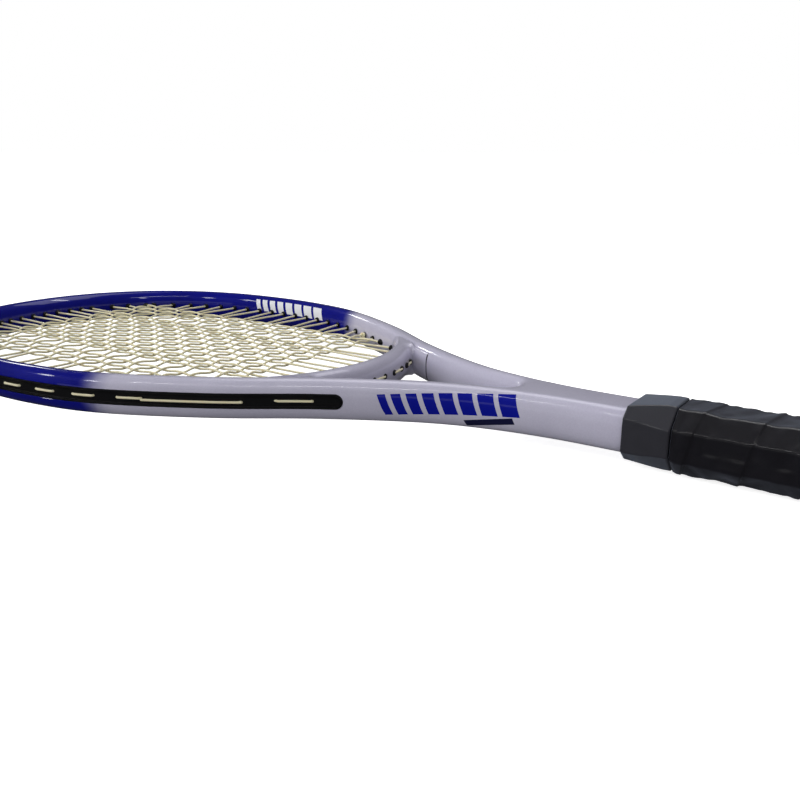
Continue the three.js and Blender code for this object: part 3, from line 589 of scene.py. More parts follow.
def frame_shape():
    """The hoop, its two shafts and the single shaft they merge into, as one closed skin. Also
    returns which points lie on the outer half of the tube."""
    end_s = edge.crossing(0, GROOVE_END_X, 0, 1)
    spread = np.linspace(0, edge.length, STATION_COUNT + 1)
    close = end_s + np.array([-0.02, 0.02, 0.15, 0.45, 0.95, 1.6, 2.4, 3.3, 4.3])
    places = sorted(set(np.round(np.concatenate([spread, close, edge.length - close]), 4)))
    rows = []
    for x in np.arange(NECK_START_X, FULL_SIZE_X, 4):
        share = max(0.0, min((x - NECK_END_X) / (FULL_SIZE_X - NECK_END_X), 1.0))
        share = share * share * (3 - 2 * share)
        half = NECK_HALF_WIDTH + (SHAFT_STATIONS[0][1] - NECK_HALF_WIDTH) * share
        scale = NECK_SCALE + (1 - NECK_SCALE) * share
        rows.append((np.array([x, half]), np.array([0.0, 1.0]), scale, 0.0))
    before = len(rows)
    for s in places:
        rows.append((edge.point(s), edge.outward(s), 1.0, groove_half(s, end_s)))
    for p, out, scale, half in reversed(rows[:before]):
        rows.append((p * (1, -1), out * (1, -1), scale, half))
    verts, outer_mark, outer = [], [], []
    for p, out, scale, half in rows:
        index = []
        for u, v in side_profile(scale, half):
            index.append(len(verts))
            verts.append((p[0] - out[0] * u, p[1] - out[1] * u, v))
            outer_mark.append(1.0)
        outer.append(index)
    last = len(rows) - 1
    faces = []
    for a, b in zip(outer, outer[1:]):
        faces += [(a[i], a[i + 1], b[i + 1], b[i]) for i in range(len(a) - 1)]
    join_row = next(i for i, index in enumerate(outer) if verts[index[0]][0] > FORK_JOIN_X)
    inner = []
    for i in range(join_row, last - join_row + 1):
        p, out, scale, _ = rows[i]
        index = [outer[i][0]]
        for u, v in inner_profile(scale):
            index.append(len(verts))
            verts.append((p[0] - out[0] * u, p[1] - out[1] * u, v))
            outer_mark.append(0.0)
        inner.append(index + [outer[i][-1]])
    # The crotch: the inner wall carried round a circle that leaves the two shafts smoothly.
    p, out = rows[join_row][:2]
    wall = p - out * BEAM_WIDTH
    radius = wall[1] / out[1]
    centre_x = wall[0] - radius * out[0]
    first_turn = math.atan2(out[1], out[0])
    arc = []
    for n in range(1, CROTCH_STEPS):
        turn = first_turn + (2 * math.pi - 2 * first_turn) * n / CROTCH_STEPS
        way = np.array([math.cos(turn), math.sin(turn)])
        index = []
        profile = [(HALF_BEAM, HALF_RISE)] + inner_profile(1.0) + [(HALF_BEAM, -HALF_RISE)]
        for u, v in profile:
            reach = radius + BEAM_WIDTH - u
            index.append(len(verts))
            verts.append((centre_x + way[0] * reach, way[1] * reach, v))
            outer_mark.append(0.0)
        arc.append(index)
    loop = inner + list(reversed(arc))
    for a, b in zip(loop, loop[1:] + loop[:1]):
        faces += [(a[i], a[i + 1], b[i + 1], b[i]) for i in range(len(a) - 1)]
    # The flat top and bottom between the shafts' crests, in strips across and one last piece.
    crest_x = centre_x - radius - HALF_BEAM - 1.5
    last_strip = next(i for i in range(join_row) if verts[outer[i][0]][0] > crest_x)
    for k in (0, -1):
        for i in range(last_strip):
            faces.append((outer[i][k], outer[i + 1][k], outer[last - i - 1][k], outer[last - i][k]))
        rim = [outer[i][k] for i in range(last_strip, join_row + 1)]
        rim += [index[k] for index in arc]
        rim += [outer[last - i][k] for i in range(join_row, last_strip - 1, -1)]
        faces.append(tuple(rim))
    faces.append(tuple(outer[0] + list(reversed(outer[last]))))
    return (verts, faces), outer_mark


shape, outer_mark = frame_shape()
make_piece("painted_frame", shape, PAINT, stands_for=["frame"], sharp=38,
           marks={"outer_wall": outer_mark})


# ---- throat bridge -----------------------------------------------------------------------------
BRIDGE_ROWS = 64
BRIDGE_SINK = 1.6              # the bridge's end runs this far into the shaft's wall
BRIDGE_RISE = (10.0, 10.4)     # half its height in the middle and at its ends
ARCH_STEPS = 30
CORNER_ROWS = 14
ACROSS_STEPS = 14
THROAT_RIM = (41.5, 340.5)     # where each rim leaves its arch (Y) and lands on the wall (X)
HEAD_RIM = (44.0, 392.0)


def bridge_face_x(y, radius):
    return BRIDGE_CENTRE_X - math.sqrt(radius ** 2 - y * y)


def wall_point(x):
    """A point just inside the +Y shaft's inner wall, and its place along the edge."""
    depth = BEAM_WIDTH - BRIDGE_SINK
    s = edge.crossing(0, x, depth, 1)
    return edge.below(s, depth)[:2], s


def bent_corner(a, corner, b, steps):
    """Points of a curve from a to b that leans toward the corner."""
    found = []
    for i in range(steps + 1):
        t = i / steps
        found.append((1 - t) ** 2 * a + 2 * t * (1 - t) * corner + t ** 2 * b)
    return found


def resample(points, count):
    row = np.array(points, float)
    step = np.linalg.norm(np.diff(row, axis=0), axis=1)
    along = np.concatenate([[0], np.cumsum(step)])
    at = np.linspace(0, along[-1], count)
    return np.column_stack([np.interp(at, along, row[:, i]) for i in range(row.shape[1])])


def bridge_rim(radius, leave_y, wall_x):
    """One edge of the bridge's plan from the middle to the +Y shaft, rounded into its wall."""
    arch = [np.array([bridge_face_x(y, radius), y]) for y in np.linspace(0, leave_y, ARCH_STEPS)]
    last, before = arch[-1], arch[-2]
    way = (last - before) / np.linalg.norm(last - before)
    land, s = wall_point(wall_x)
    out = edge.outward(s)
    along = np.array([-out[1], out[0]])
    # The corner is where the arch's line and the wall's line meet.
    t = np.linalg.solve(np.column_stack([way, along]), land - last)
    return arch[:-1] + bent_corner(last, last + way * t[0], land, CORNER_ROWS)


def distance_to(p, *lines):
    """The distance in the plan from a point to the nearest of these lines."""
    nearest = []
    for line in lines:
        a, way = line[:-1], np.diff(line, axis=0)
        share = np.clip(((p - a) * way).sum(axis=1) / (way * way).sum(axis=1), 0, 1)
        nearest.append(np.linalg.norm(a + way * share[:, None] - p, axis=1).min())
    return min(nearest)


def bridge_shape():
    """The arched beam. Its section's height follows the true distance to its two rims, so the
    beam spreads and stays round where it runs into the shafts."""
    throat = resample(bridge_rim(BRIDGE_THROAT_RADIUS, *THROAT_RIM), BRIDGE_ROWS)
    head = resample(bridge_rim(BRIDGE_HEAD_RADIUS, *HEAD_RIM), BRIDGE_ROWS)
    end_line = [wall_point(x)[0] for x in np.linspace(throat[-1][0], head[-1][0], 41)]
    end_line = resample(end_line, 101)
    rings = []
    for r in range(BRIDGE_ROWS):
        v = r / (BRIDGE_ROWS - 1)
        a, b = throat[r], head[r]
        half_width = np.linalg.norm(b - a) / 2
        curl = min(BRIDGE_WIDTH / 2, half_width * 0.96)
        rise = BRIDGE_RISE[0] + (BRIDGE_RISE[1] - BRIDGE_RISE[0]) * v ** 2
        turns = [math.pi / 2 * i / ACROSS_STEPS for i in range(ACROSS_STEPS + 1)]
        offsets = [curl * (1 - math.cos(turn)) for turn in turns]
        offsets += list(np.linspace(curl, half_width, 5)[1:])
        across = [-1 + d / half_width for d in offsets]
        across = across + [-u for u in reversed(across[:-1])]
        top = []
        for u in across:
            t = (u + 1) / 2
            straight = (1 - t) * a + t * b
            curve = np.array([np.interp(t, np.linspace(0, 1, 101), end_line[:, i]) for i in (0, 1)])
            straight_end = (1 - t) * throat[-1] + t * head[-1]
            pull = max(0.0, (v - 0.55) / 0.45) ** 2
            p = straight + (curve - straight_end) * pull
            near = distance_to(p, throat, head)
            d = 0.0 if abs(u) == 1 else min(near / (BRIDGE_WIDTH / 2 * 0.98), 1.0)
            z = rise * max(1 - (1 - d) ** BEAM_POWER, 0.0) ** (1 / BEAM_POWER)
            top.append((p[0], p[1], z))
        rings.append(top + [(x, y, -z) for x, y, z in reversed(top[1:-1])])
    mirrored = [[(x, -y, z) for x, y, z in ring] for ring in reversed(rings[1:])]
    return skin(mirrored + rings)


ARM_HALF = 8.4
ARM_PROUD = 0.55
ARM_STEPS = 24
ARM_ROWS = [(333.0, 0.5), (333.25, 0.0), (337.0, 0.0), (341.0, 0.0), (345.0, 0.0), (350.0, 0.0)]


def bridge_arm(side):
    """The thin end of the bridge that lies along a shaft's inner wall. Its first edge is eased."""
    rings = []
    for x, edge_in in ARM_ROWS:
        s = edge.crossing(0, x, BEAM_WIDTH, side)
        section = []
        for i in range(ARM_STEPS + 1):
            z = ARM_HALF * (1 - 2 * i / ARM_STEPS)
            proud = ARM_PROUD * (1 - abs(z / ARM_HALF) ** 6) - edge_in
            section.append(edge.below(s, BEAM_WIDTH - surface_depth(z) + proud, z))
        back = [edge.below(s, BEAM_WIDTH - surface_depth(z) - 1.2, z) for z in (-ARM_HALF, ARM_HALF)]
        rings.append(section + back)
    return skin(rings)


make_piece("throat_bridge_moulding", join(bridge_shape(), bridge_arm(1), bridge_arm(-1)), PAINT,
           stands_for=["throat_bridge"], sharp=50)


# ---- strips in the groove ----------------------------------------------------------------------
def strip_section(half, wing, proud):
    """The strip's section as (depth, height) pairs: a channel for the strings between two rims.
    With a wing it also spreads over the tube's side, standing proud of it."""
    body = half - 0.22
    slot_half = max(body - 0.95, body * 0.35)
    floor = min(CHANNEL_FLOOR, 0.5 + slot_half)
    rim = surface_depth(body) + 0.02 - proud
    upper = [(GROOVE_DEPTH - 0.25, body)]
    if wing > 0:
        foot = surface_depth(wing)
        upper += [(surface_depth(body) + 0.02, body), (foot, wing), (foot - proud * 0.55, wing - 0.1),
                  (foot - proud, wing - 0.75)]
        for share in (0.7, 0.45, 0.2):
            height = body + (wing - 0.75 - body) * share
            upper.append((surface_depth(height) - proud, height))
    upper += [(rim + 0.1, body), (rim - 0.1, body - 0.2), (rim - 0.1, slot_half + 0.2),
              (rim + 0.12, slot_half), (floor - 0.35, slot_half - 0.02), (floor, slot_half - 0.35)]
    return upper + [(u, -v) for u, v in reversed(upper)]


def along_edge(places, section_at):
    return skin([[edge.below(s, u, v) for u, v in section_at(s)] for s in places])


def side_strip(side):
    start = edge.crossing(0, GROOVE_END_X, 0, 1) + 0.25
    finish = edge.crossing(0, BUMPER_END_X - 0.3, 0, 1)
    places = list(start + np.array([0.03, 0.2, 0.5, 1.0, 1.7, 2.5, 3.4, 4.2]))
    places += list(np.linspace(start + 5, finish, 150))
    if side < 0:
        places = [edge.length - s for s in places]
    return along_edge(places, lambda s: strip_section(max(groove_half(s, start), 0.5), 0, 0))


WING_HALF = 7.0
WING_PROUD = 1.3


def bumper():
    start = edge.crossing(0, BUMPER_END_X, 0, 1)
    middle = edge.length / 2
    near = start + np.array([0.0, 0.25, 0.7, 1.4, 2.4, 3.6, 5.0, 6.5])
    places = list(near) + list(np.linspace(start + 8, middle, 90))
    places += [edge.length - s for s in reversed(places[:-1])]

    def section(s):
        run = min(s, edge.length - s) - start
        share = min(run / 6.5, 1.0)
        round_in = math.sqrt(max(1 - (1 - share) ** 2, 0.0))
        wing = GROOVE_HALF + 0.4 + (WING_HALF - GROOVE_HALF - 0.4) * round_in
        return strip_section(GROOVE_HALF, wing, WING_PROUD * (0.12 + 0.88 * min(run / 1.4, 1.0)))
    return along_edge(places, section)


make_piece("string_strip_left", side_strip(1), NYLON,
           stands_for=["side_grommet_strip_left"])
make_piece("string_strip_right", side_strip(-1), NYLON,
           stands_for=["side_grommet_strip_right"])
make_piece("head_guard", bumper(), NYLON, stands_for=["bumper_guard"])


# ---- grommet barrels ---------------------------------------------------------------------------
def wall_holes():
    """Where each string passes the hoop's wall: the point on the inner wall and the way out."""
    found = []
    for side in (1, -1):
        for k, y in enumerate(MAIN_OFFSETS, 1):
            for end in ((1, -1) if k > BRIDGE_MAINS else (1,)):
                s = edge.crossing(1, side * y, BEAM_WIDTH, end)
                found.append((edge.below(s, BEAM_WIDTH), (-end, 0, 0)))
        for j in range(CROSS_COUNT):
            s = edge.crossing(0, cross_x(j), BEAM_WIDTH, side)
            found.append((edge.below(s, BEAM_WIDTH), (0, -side, 0)))
    return found


FLANGE_HALF = 2.3              # a flange reaches this far to each side of its hole


def throat_holes():
    """The bridge's holes: Y, and X where a flange clears the throat side and on the head side."""
    found = []
    for side in (1, -1):
        for y in MAIN_OFFSETS[:BRIDGE_MAINS]:
            throat_x = bridge_face_x(y - FLANGE_HALF, BRIDGE_THROAT_RADIUS)
            found.append((side * y, throat_x, bridge_face_x(y, BRIDGE_HEAD_RADIUS)))
    return found


def barrel_tree():
    """Sets a moulded tube with a rounded rim on every point, along the point's own way."""
    tree = bpy.data.node_groups.new("moulded_barrels", "GeometryNodeTree")
    tree.interface.new_socket("Geometry", in_out="OUTPUT", socket_type="NodeSocketGeometry")
    names = {}
    for name, kind in (("Points", "NodeSocketGeometry"), ("Barrel radius", "NodeSocketFloat"),
                       ("Proud of wall", "NodeSocketFloat"), ("Depth in wall", "NodeSocketFloat"),
                       ("Finish", "NodeSocketMaterial")):
        names[name] = tree.interface.new_socket(name, in_out="INPUT", socket_type=kind).identifier
    source = add(tree, "NodeGroupInput").outputs
    inner = add(tree, "ShaderNodeMath", {0: source["Depth in wall"], 1: -1.0}, operation="MULTIPLY")
    low = add(tree, "ShaderNodeCombineXYZ", {"Z": inner.outputs[0]})
    high = add(tree, "ShaderNodeCombineXYZ", {"Z": source["Proud of wall"]})
    line = add(tree, "GeometryNodeCurvePrimitiveLine", {"Start": low.outputs[0], "End": high.outputs[0]})
    line = add(tree, "GeometryNodeResampleCurve", {"Curve": line.outputs[0], "Count": 14})
    share = add(tree, "GeometryNodeSplineParameter").outputs["Factor"]
    near_end = add(tree, "ShaderNodeMapRange", {"Value": share, "From Min": 0.86})
    curl = add(tree, "ShaderNodeMath", {0: near_end.outputs[0], 1: 2.0}, operation="POWER")
    scale = add(tree, "ShaderNodeMath", {0: curl.outputs[0], 1: -0.22, 2: 1.0},
                operation="MULTIPLY_ADD")
    ring = add(tree, "GeometryNodeCurvePrimitiveCircle", {"Radius": source["Barrel radius"],
                                                          "Resolution": 20})
    tube = add(tree, "GeometryNodeCurveToMesh", {"Curve": line.outputs[0], "Scale": scale.outputs[0],
                                                 "Profile Curve": ring.outputs[0], "Fill Caps": True})
    way = add(tree, "GeometryNodeInputNamedAttribute", {"Name": "way"}, data_type="FLOAT_VECTOR")
    turn = add(tree, "FunctionNodeAlignRotationToVector", {"Vector": way.outputs["Attribute"]},
               axis="Z")
    points = add(tree, "GeometryNodeMeshToPoints", {"Mesh": source["Points"]})
    placed = add(tree, "GeometryNodeInstanceOnPoints",
                 {"Points": points.outputs[0], "Instance": tube.outputs[0], "Rotation": turn.outputs[0]})
    real = add(tree, "GeometryNodeRealizeInstances", {"Geometry": placed.outputs[0]})
    smooth = add(tree, "GeometryNodeSetShadeSmooth", {"Geometry": real.outputs[0]})
    done = add(tree, "GeometryNodeSetMaterial", {"Geometry": smooth.outputs[0],
                                                 "Material": source["Finish"]})
    add(tree, "NodeGroupOutput", {0: done.outputs[0]})
    return tree, names


BARRELS, BARREL_INPUTS = barrel_tree()


def barrels(name, holes, proud, depth, radius, stands_for=()):
    """One mesh of all the barrels at these (place, way) pairs."""
    mesh = bpy.data.meshes.new(name + "_points")
    mesh.from_pydata([tuple(float(v) * MM for v in p) for p, _ in holes], [], [])
    way = mesh.attributes.new("way", "FLOAT_VECTOR", "POINT")
    way.data.foreach_set("vector", [float(v) for _, w in holes for v in w])
    seed = bpy.data.objects.new(name + "_points", mesh)
    bpy.context.scene.collection.objects.link(seed)
    nodes = seed.modifiers.new("barrels", "NODES")
    nodes.node_group = BARRELS
    for key, value in (("Barrel radius", radius * MM), ("Proud of wall", proud * MM),
                       ("Depth in wall", depth * MM), ("Finish", NYLON)):
        nodes[BARREL_INPUTS[key]] = value
    graph = bpy.context.evaluated_depsgraph_get()
    made = bpy.data.meshes.new_from_object(seed.evaluated_get(graph))
    made.name = name
    bpy.data.objects.remove(seed)
    piece = bpy.data.objects.new(name, made)
    bpy.context.scene.collection.objects.link(piece)
    made.set_sharp_from_angle(angle=math.radians(50))
    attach(piece, "racket")
    if stands_for:
        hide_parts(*stands_for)


throat_rows = throat_holes()
barrels("wall_barrels", wall_holes(), proud=1.3, depth=4.0, radius=2.0)
barrels("bridge_barrels", [((head_x, y, 0), (1, 0, 0)) for y, _, head_x in throat_rows],
        proud=1.2, depth=8.0, radius=2.0,
        stands_for=[f"bridge_grommet_{side}_{k}" for side in ("left", "right") for k in range(1, 6)])
barrels("bridge_flanges", [((throat_x, y, 0), (-1, 0, 0)) for y, throat_x, _ in throat_rows],
        proud=0.35, depth=1.5, radius=1.75)

# ---- strings -----------------------------------------------------------------------------------
STRING_RADIUS = 0.69
LOOP_PROUD = 0.35              # how far a loop's middle line stands off the bridge
MAIN_WAVE = 0.5                # how far the main strings bend where a cross string passes
CROSS_WAVE = 0.88
BEND = 1.6                     # the radius of a string's bends
RUN_IN = 0.5                   # a run begins this far inside the hole in the wall
END_DROP = 0.72                # a main string's end lies this far under the loops it passes
END_TURN = [(0.0, 2.6, -0.9), (-1.6, 4.0, -1.4), (-2.0, 2.4, 1.3), (1.2, 2.2, 1.4), (1.6, 3.4, -1.2),
            (-3.5, 4.4, -1.6)]  # the small turn it ends in: along X, in from the wall, and up


def tube(points, radius, sides=10):
    """A round string along points, turned as little as possible from ring to ring."""
    row = np.array(points, float)
    way = np.gradient(row, axis=0)
    way /= np.linalg.norm(way, axis=1)[:, None]
    side = np.cross(way[0], (0, 0, 1.0))
    rings = []
    for p, t in zip(row, way):
        side = side - t * np.dot(side, t)
        side /= np.linalg.norm(side)
        lift = np.cross(t, side)
        rings.append([p + radius * (side * math.cos(a) + lift * math.sin(a))
                      for a in (2 * math.pi * i / sides for i in range(sides))])
    return skin(rings)


def rounded(points, radius):
    """The same path with each corner bent to about this radius."""
    row = [np.array(p, float) for p in points]
    found = [row[0]]
    for a, p, b in zip(row, row[1:], row[2:]):
        into, out = p - a, b - p
        li, lo = np.linalg.norm(into), np.linalg.norm(out)
        into, out = into / li, out / lo
        turn = math.acos(max(-1.0, min(1.0, float(np.dot(into, out)))))
        if turn < math.radians(8):
            found.append(p)
            continue
        reach = min(radius * math.tan(turn / 2), 0.45 * li, 0.45 * lo)
        found += bent_corner(p - into * reach, p, p + out * reach, 6)
    found.append(row[-1])
    return found


def over(j, k):
    """+1 where cross string j passes over main string k (k is negative on the -Y side)."""
    return 1 if (j + (k if k > 0 else k + 1)) % 2 == 0 else -1


def waved(crossings):
    """A path through the crossings that rises and falls smoothly."""
    found = []
    for a, b in zip(crossings, crossings[1:]):
        for n in range(6):
            t = n / 6
            p = a + (b - a) * t
            p[2] = a[2] + (b[2] - a[2]) * (1 - math.cos(math.pi * t)) / 2
            found.append(p)
    found.append(crossings[-1])
    return found


def exit_place(axis, value, end):
    return edge.crossing(axis, value, LOOP_DEPTH, end)


def in_channel(start, finish, height=0.0):
    """A loop that lies in the strip's channel between two places along the edge."""
    count = max(int(abs(finish - start) / 3), 2)
    return [edge.below(s, LOOP_DEPTH, height) for s in np.linspace(start, finish, count)]


def main_run(side, k):
    """One main string from the throat end to the tip end, inside the hoop."""
    y = side * MAIN_OFFSETS[k - 1]
    crossings = []
    for j in range(CROSS_COUNT):
        crossings.append(np.array([cross_x(j), y, -MAIN_WAVE * over(j, side * k)]))
    tip_s = edge.crossing(1, y, BEAM_WIDTH, 1)
    tip = np.array([edge.below(tip_s, BEAM_WIDTH)[0] - RUN_IN, y, 0.0])
    if k > BRIDGE_MAINS:
        low_s = edge.crossing(1, y, BEAM_WIDTH, -1)
        low = np.array([edge.below(low_s, BEAM_WIDTH)[0] + RUN_IN, y, 0.0])
    else:
        low = np.array([bridge_face_x(y, BRIDGE_HEAD_RADIUS), y, 0.0])
    return waved([low] + crossings + [tip])


def main_half(side):
    """Half of the main string, from the middle of the throat out to its end."""
    points = []
    for k in range(1, len(MAIN_OFFSETS) + 1):
        y = side * MAIN_OFFSETS[k - 1]
        run = main_run(side, k)
        loop_x = bridge_face_x(abs(y) - FLANGE_HALF, BRIDGE_THROAT_RADIUS) - LOOP_PROUD
        if k % 2 == 1:
            if k <= BRIDGE_MAINS:
                points.append(np.array([loop_x, y, 0.0]))
            points += run
            nxt = side * MAIN_OFFSETS[k]
            points += in_channel(exit_place(1, y, 1), exit_place(1, nxt, 1))
        else:
            points += list(reversed(run))
            if k < BRIDGE_MAINS:
                points.append(np.array([loop_x, y, 0.0]))
            elif k < len(MAIN_OFFSETS):
                nxt = side * MAIN_OFFSETS[k]
                points += in_channel(exit_place(1, y, -1), exit_place(1, nxt, -1))
    # The end runs along the channel and comes in through the second cross string's hole.
    leave = exit_place(1, side * MAIN_OFFSETS[-1], -1)
    points += in_channel(leave, exit_place(0, cross_x(1), side), -END_DROP)
    tie = edge.below(edge.crossing(0, cross_x(1), BEAM_WIDTH, side), BEAM_WIDTH)
    points += [tie + np.array([x, -side * inward, z]) for x, inward, z in END_TURN]
    return points


def main_string():
    return tube(rounded(list(reversed(main_half(1))) + main_half(-1), BEND), STRING_RADIUS)


def cross_string():
    """The cross string starts near the tip on the -Y side and weaves down to the throat."""
    mains = [-y for y in reversed(MAIN_OFFSETS)] + list(MAIN_OFFSETS)
    numbers = list(range(-len(MAIN_OFFSETS), 0)) + list(range(1, len(MAIN_OFFSETS) + 1))
    points = []
    for j in range(CROSS_COUNT - 1, -1, -1):
        toward = 1 if j % 2 == 0 else -1
        x = cross_x(j)
        low, high = [edge.below(edge.crossing(0, x, BEAM_WIDTH, side), BEAM_WIDTH)[1] - side * RUN_IN
                     for side in (-1, 1)]
        row = [np.array([x, y, CROSS_WAVE * over(j, k)]) for k, y in zip(numbers, mains)]
        run = waved([np.array([x, low, 0.0])] + row + [np.array([x, high, 0.0])])
        if toward < 0:
            run.reverse()
        if j == CROSS_COUNT - 1:
            points.append(edge.below(exit_place(0, x, -toward), LOOP_DEPTH + 1.5))
        points += run
        if j > 0:
            points += in_channel(exit_place(0, x, toward), exit_place(0, cross_x(j - 1), toward))
        else:
            points.append(edge.below(exit_place(0, x, toward), LOOP_DEPTH + 1.5))
    return tube(rounded(points, BEND), STRING_RADIUS)


make_piece("main_strings", main_string(), STRING, stands_for=["main_string"], sharp=80)
make_piece("cross_strings", cross_string(), STRING, stands_for=["cross_string"], sharp=80)


# ---- handle ------------------------------------------------------------------------------------
CORNER_STEPS = 6
FLAT_STEPS = 14


def handle_outline(width, height, flat_y=0.5, flat_z=0.42, corner=3.2):
    """An eight-sided outline with rounded corners: (y, z, normal y, normal z, share round). The
    two flats are the shares of the width and the height that stay flat."""
    w, h = width / 2, height / 2
    fy, fz = w * flat_y, h * flat_z
    pts = [np.array(p) for p in ((w, -fz), (w, fz), (fy, h), (-fy, h), (-w, fz), (-w, -fz), (-fy, -h),
                                 (fy, -h))]
    legs = [pts[(i + 1) % 8] - pts[i] for i in range(8)]
    lengths = [np.linalg.norm(leg) for leg in legs]
    ways = [leg / length for leg, length in zip(legs, lengths)]
    reaches = []
    for i in range(8):
        turn = math.acos(float(np.dot(ways[i - 1], ways[i])))
        reaches.append(min(corner * math.tan(turn / 2), 0.4 * lengths[i - 1], 0.4 * lengths[i]))
    found = []
    for i, p in enumerate(pts):
        n_in, n_out = [np.array([way[1], -way[0]]) for way in (ways[i - 1], ways[i])]
        bend = bent_corner(p - ways[i - 1] * reaches[i], p, p + ways[i] * reaches[i], CORNER_STEPS)
        for n, q in enumerate(bend):
            normal = n_in * (1 - n / CORNER_STEPS) + n_out * (n / CORNER_STEPS)
            found.append((q, normal / np.linalg.norm(normal)))
        flat = pts[(i + 1) % 8] - ways[i] * reaches[(i + 1) % 8] - bend[-1]
        found += [(bend[-1] + flat * n / FLAT_STEPS, n_out) for n in range(1, FLAT_STEPS)]
    row = np.array([q for q, _ in found])
    step = np.linalg.norm(np.roll(row, -1, axis=0) - row, axis=1)
    share = np.concatenate([[0], np.cumsum(step)[:-1]]) / step.sum()
    # Shares are counted from the middle of the +Y flat.
    share = (share - 0.5 * np.linalg.norm(pts[1] - pts[0]) / step.sum()) % 1.0
    return [(q[0], q[1], n[0], n[1], s) for (q, n), s in zip(found, share)]


def size_at(rows, x):
    """The outline's sizes at x, between the rows (x, width, height, ...)."""
    table = np.array(rows, float)
    return [float(np.interp(x, table[:, 0], table[:, i])) for i in range(1, table.shape[1])]


def handle_ring(x, sizes, corner=3.2, relief=None):
    ring = []
    for y, z, ny, nz, share in handle_outline(*sizes, corner=corner):
        lift = relief(x, share) if relief else 0.0
        ring.append((x, y + ny * lift, z + nz * lift))
    return ring


def at_sizes(rows, corner):
    """Rings that each follow one row of (x, width, height and, where given, the two flats)."""
    return [handle_ring(x, sizes, corner) for x, *sizes in rows]


WRAP_PITCH = 25.0              # each turn of the wrap moves this far along the handle
WRAP_START = 160.5             # where one overlap crosses the middle of the +Y flat
WRAP_GIRTH = 103.0
WRAP_BUTT, WRAP_END = 6.4, 178.0
WRAP_SMOOTH_X = 168.6          # from here on the tape and the collar press the wrap smooth
OVERLAP_HEIGHT = 0.5           # how high a turn's edge stands over the turn below it
OVERLAP_STEP = 0.028           # the share of a turn in which it rises, and the one in which it fades
OVERLAP_FADE = 0.16
TUCK_DEPTH = 0.16              # the low line just before each overlap
FOLD_HEIGHT, FOLDS_PER_TURN, FOLD_MM = 0.6, 2.4, 15.0
CREASE_HEIGHT, CREASES_PER_TURN, CREASE_MM = 0.9, 3.4, 12.0
CREASE_START = 0.12            # only the stronger creases show
WRAP_OUTSIDE = [(6.4, 40.2, 34.2, 0.5, 0.42), (9, 39.4, 33.6, 0.5, 0.42), (15, 37.9, 32.4, 0.52, 0.43),
                (24, 36.8, 31.2, 0.54, 0.44), (34, 35.8, 30.2, 0.56, 0.46),
                (46, 35.3, 29.7, 0.57, 0.47), (150, 35.5, 29.9, 0.57, 0.47),
                (160, 36.0, 30.4, 0.57, 0.46), (168.4, 36.0, 30.4, 0.56, 0.46),
                (169.0, 33.0, 27.2, 0.52, 0.43), (178, 31.6, 25.8, 0.5, 0.42)]
WRAP_INSIDE = [(178, 30.4, 24.6), (172.6, 30.4, 24.6), (167, 32.0, 26.2), (34, 32.2, 26.4),
               (29, 34.8, 30.2), (11.6, 34.8, 30.2), (6.4, 38.4, 32.4)]


def wrap_relief(x, share):
    """The overlapping edge of each turn, and the small folds that the stretched wrap takes."""
    turn = (x - WRAP_START) / WRAP_PITCH + share
    phase = turn % 1.0
    step = min(phase / OVERLAP_STEP, 1.0)
    step = step * step * (3 - 2 * step)
    ridge = OVERLAP_HEIGHT * step * math.exp(-(max(phase - 0.03, 0) / OVERLAP_FADE) ** 2)
    tuck = TUCK_DEPTH * math.exp(-((phase - 0.93) / 0.06) ** 2)
    across = share * WRAP_GIRTH
    fold = noise.noise(Vector((turn * FOLDS_PER_TURN, across / FOLD_MM, 3.1)))
    crease = noise.noise(Vector((turn * CREASES_PER_TURN, across / CREASE_MM, 8.7)))
    crease = max(0.0, abs(crease) - CREASE_START)
    calm = min(max((WRAP_SMOOTH_X - x) / 1.8, 0.0), 1.0)
    return (ridge - tuck + FOLD_HEIGHT * fold + CREASE_HEIGHT * crease) * calm


def sag(x):
    """The wrap is a little fuller underneath, away from its two ends."""
    return 0.35 * min(max((x - 20) / 20, 0.0), 1.0) * min(max((168.8 - x) / 2.0, 0.0), 1.0)


def grip_wrap():
    places = list(np.arange(WRAP_BUTT, 168.0, 0.45)) + list(np.arange(168.1, 170.0, 0.2))
    places += list(np.arange(170.1, WRAP_END, 0.8))
    places[-1] = WRAP_END
    rings = at_sizes([(WRAP_BUTT, 39.2, 33.2)], 2.4)
    rings += [handle_ring(x, size_at(WRAP_OUTSIDE, x), 2.4, wrap_relief) for x in places[1:]]
    rings = [[(x, y, z - sag(x)) for x, y, z in ring] for ring in rings]
    return skin(rings + at_sizes(WRAP_INSIDE, 2.6), loop=True)


TAPE_START, TAPE_END = 169.3, 177.0
TAPE_PITCH = 4.0
TAPE_THICK = 0.12


def tape_relief(x, share):
    phase = ((x - TAPE_START) / TAPE_PITCH + share) % 1.0
    return TAPE_THICK * min(phase / 0.05, 1.0) * (1 - 0.6 * phase)


def finishing_tape():
    """Tape stretched over the wrap's end in two turns, whose edges show as low steps."""
    rings = at_sizes([(TAPE_START, 33.7, 27.9)], 3.2)
    for x in np.arange(TAPE_START + 0.2, TAPE_END - 0.1, 0.25):
        narrower = 0.04 * (x - TAPE_START)
        rings.append(handle_ring(x, (34.0 - narrower, 28.2 - narrower), 3.2, tape_relief))
    rings += at_sizes([(TAPE_END, 33.4, 27.6)], 3.2)
    rings += at_sizes([(TAPE_END, 33.1, 27.3), (TAPE_START, 33.4, 27.6)], 3.0)
    return skin(rings, loop=True)


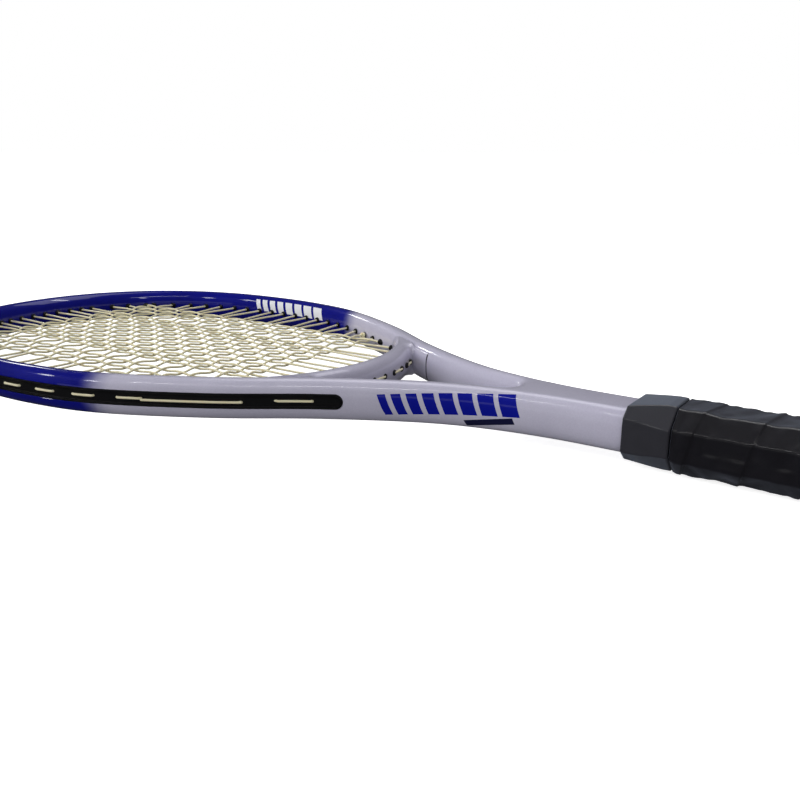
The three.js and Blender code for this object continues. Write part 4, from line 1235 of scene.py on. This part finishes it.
COLLAR_OUTSIDE = [(169.3, 35.9, 29.9, 0.5, 0.42), (169.45, 36.4, 30.4, 0.5, 0.42),
                  (169.9, 36.8, 30.8, 0.5, 0.42), (173.3, 37.0, 31.0, 0.5, 0.42),
                  (178.0, 36.6, 30.0, 0.54, 0.47), (183.3, 35.8, 28.5, 0.6, 0.55),
                  (187.5, 35.2, 27.2, 0.65, 0.59), (190.4, 34.8, 26.2, 0.7, 0.62),
                  (191.0, 34.5, 25.8, 0.7, 0.62), (191.3, 34.0, 25.2, 0.7, 0.63)]
COLLAR_INSIDE = [(191.3, 33.0, 24.0, 0.72, 0.68), (190.8, 32.3, 23.6, 0.74, 0.7),
                 (182.3, 32.2, 24.2, 0.7, 0.68), (178.3, 34.9, 29.1, 0.5, 0.42),
                 (169.9, 34.9, 29.1, 0.5, 0.42), (169.3, 35.3, 29.4, 0.5, 0.42)]
COLLAR_LIPS = (170.5, 190.0)   # the taper between the two rounded lips


def grip_collar():
    """A tapered rubber sleeve with rounded lips."""
    low, high = COLLAR_LIPS
    places = [x for x, *_ in COLLAR_OUTSIDE if x < low or x > high] + list(np.linspace(low, high, 40))
    rings = at_sizes([(x, *size_at(COLLAR_OUTSIDE, x)) for x in sorted(places)], 1.5)
    return skin(rings + at_sizes(COLLAR_INSIDE, 2.4), loop=True)


RECESS_RADIUS = 18.0           # the circle that the shares below are taken of
CAP_RECESS = [(1.1, 0.02), (1.1, 0.3), (1.05, 0.56), (0.8, 0.585), (0.3, 0.60), (0.05, 0.615)]
CAP_OUTSIDE = [(0.0, 36.0, 30.0), (0.1, 38.0, 32.0), (0.45, 39.6, 33.6), (1.3, 40.8, 34.8),
               (2.6, 41.0, 35.0), (4.0, 40.9, 34.9), (5.2, 39.6, 33.6), (6.0, 37.6, 31.6),
               (8.0, 35.6, 29.8), (11.0, 33.6, 27.8), (26.6, 33.6, 27.8), (27.0, 33.2, 27.4),
               (27.0, 32.2, 26.4), (3.0, 32.0, 26.2)]


def butt_cap():
    """A moulded cap: a flared rim with a shallow round recess in its end, on a thin skirt."""
    rings = []
    for x, share in CAP_RECESS:
        ring = []
        for _, y, z in handle_ring(x, (39, 33, 0.5, 0.42), 3.4):
            size = math.hypot(y, z)
            ring.append((x, y / size * RECESS_RADIUS * share, z / size * RECESS_RADIUS * share))
        rings.append(ring)
    return skin(rings + at_sizes(CAP_OUTSIDE, 3.4))


make_piece("wrapped_grip", grip_wrap(), WRAP, stands_for=["grip_wrap"], sharp=60)
make_piece("wound_finishing_tape", finishing_tape(), TAPE, stands_for=["finishing_tape"],
           sharp=50)
make_piece("rubber_collar", grip_collar(), RUBBER, body="collar",
           stands_for=["grip_collar"], sharp=50)
make_piece("moulded_butt_cap", butt_cap(), CAP_PLASTIC, stands_for=["butt_cap"],
           sharp=40)

for node_name, finish, slot in (("handle_pallet_upper", FOAM, "pallet_foam"),
                                ("handle_pallet_lower", FOAM, "pallet_foam"),
                                ("butt_staple_upper", STEEL, "staple_steel"),
                                ("butt_staple_lower", STEEL, "staple_steel")):
    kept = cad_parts[node_name]
    kept.data.materials.clear()
    kept.data.materials.append(finish)
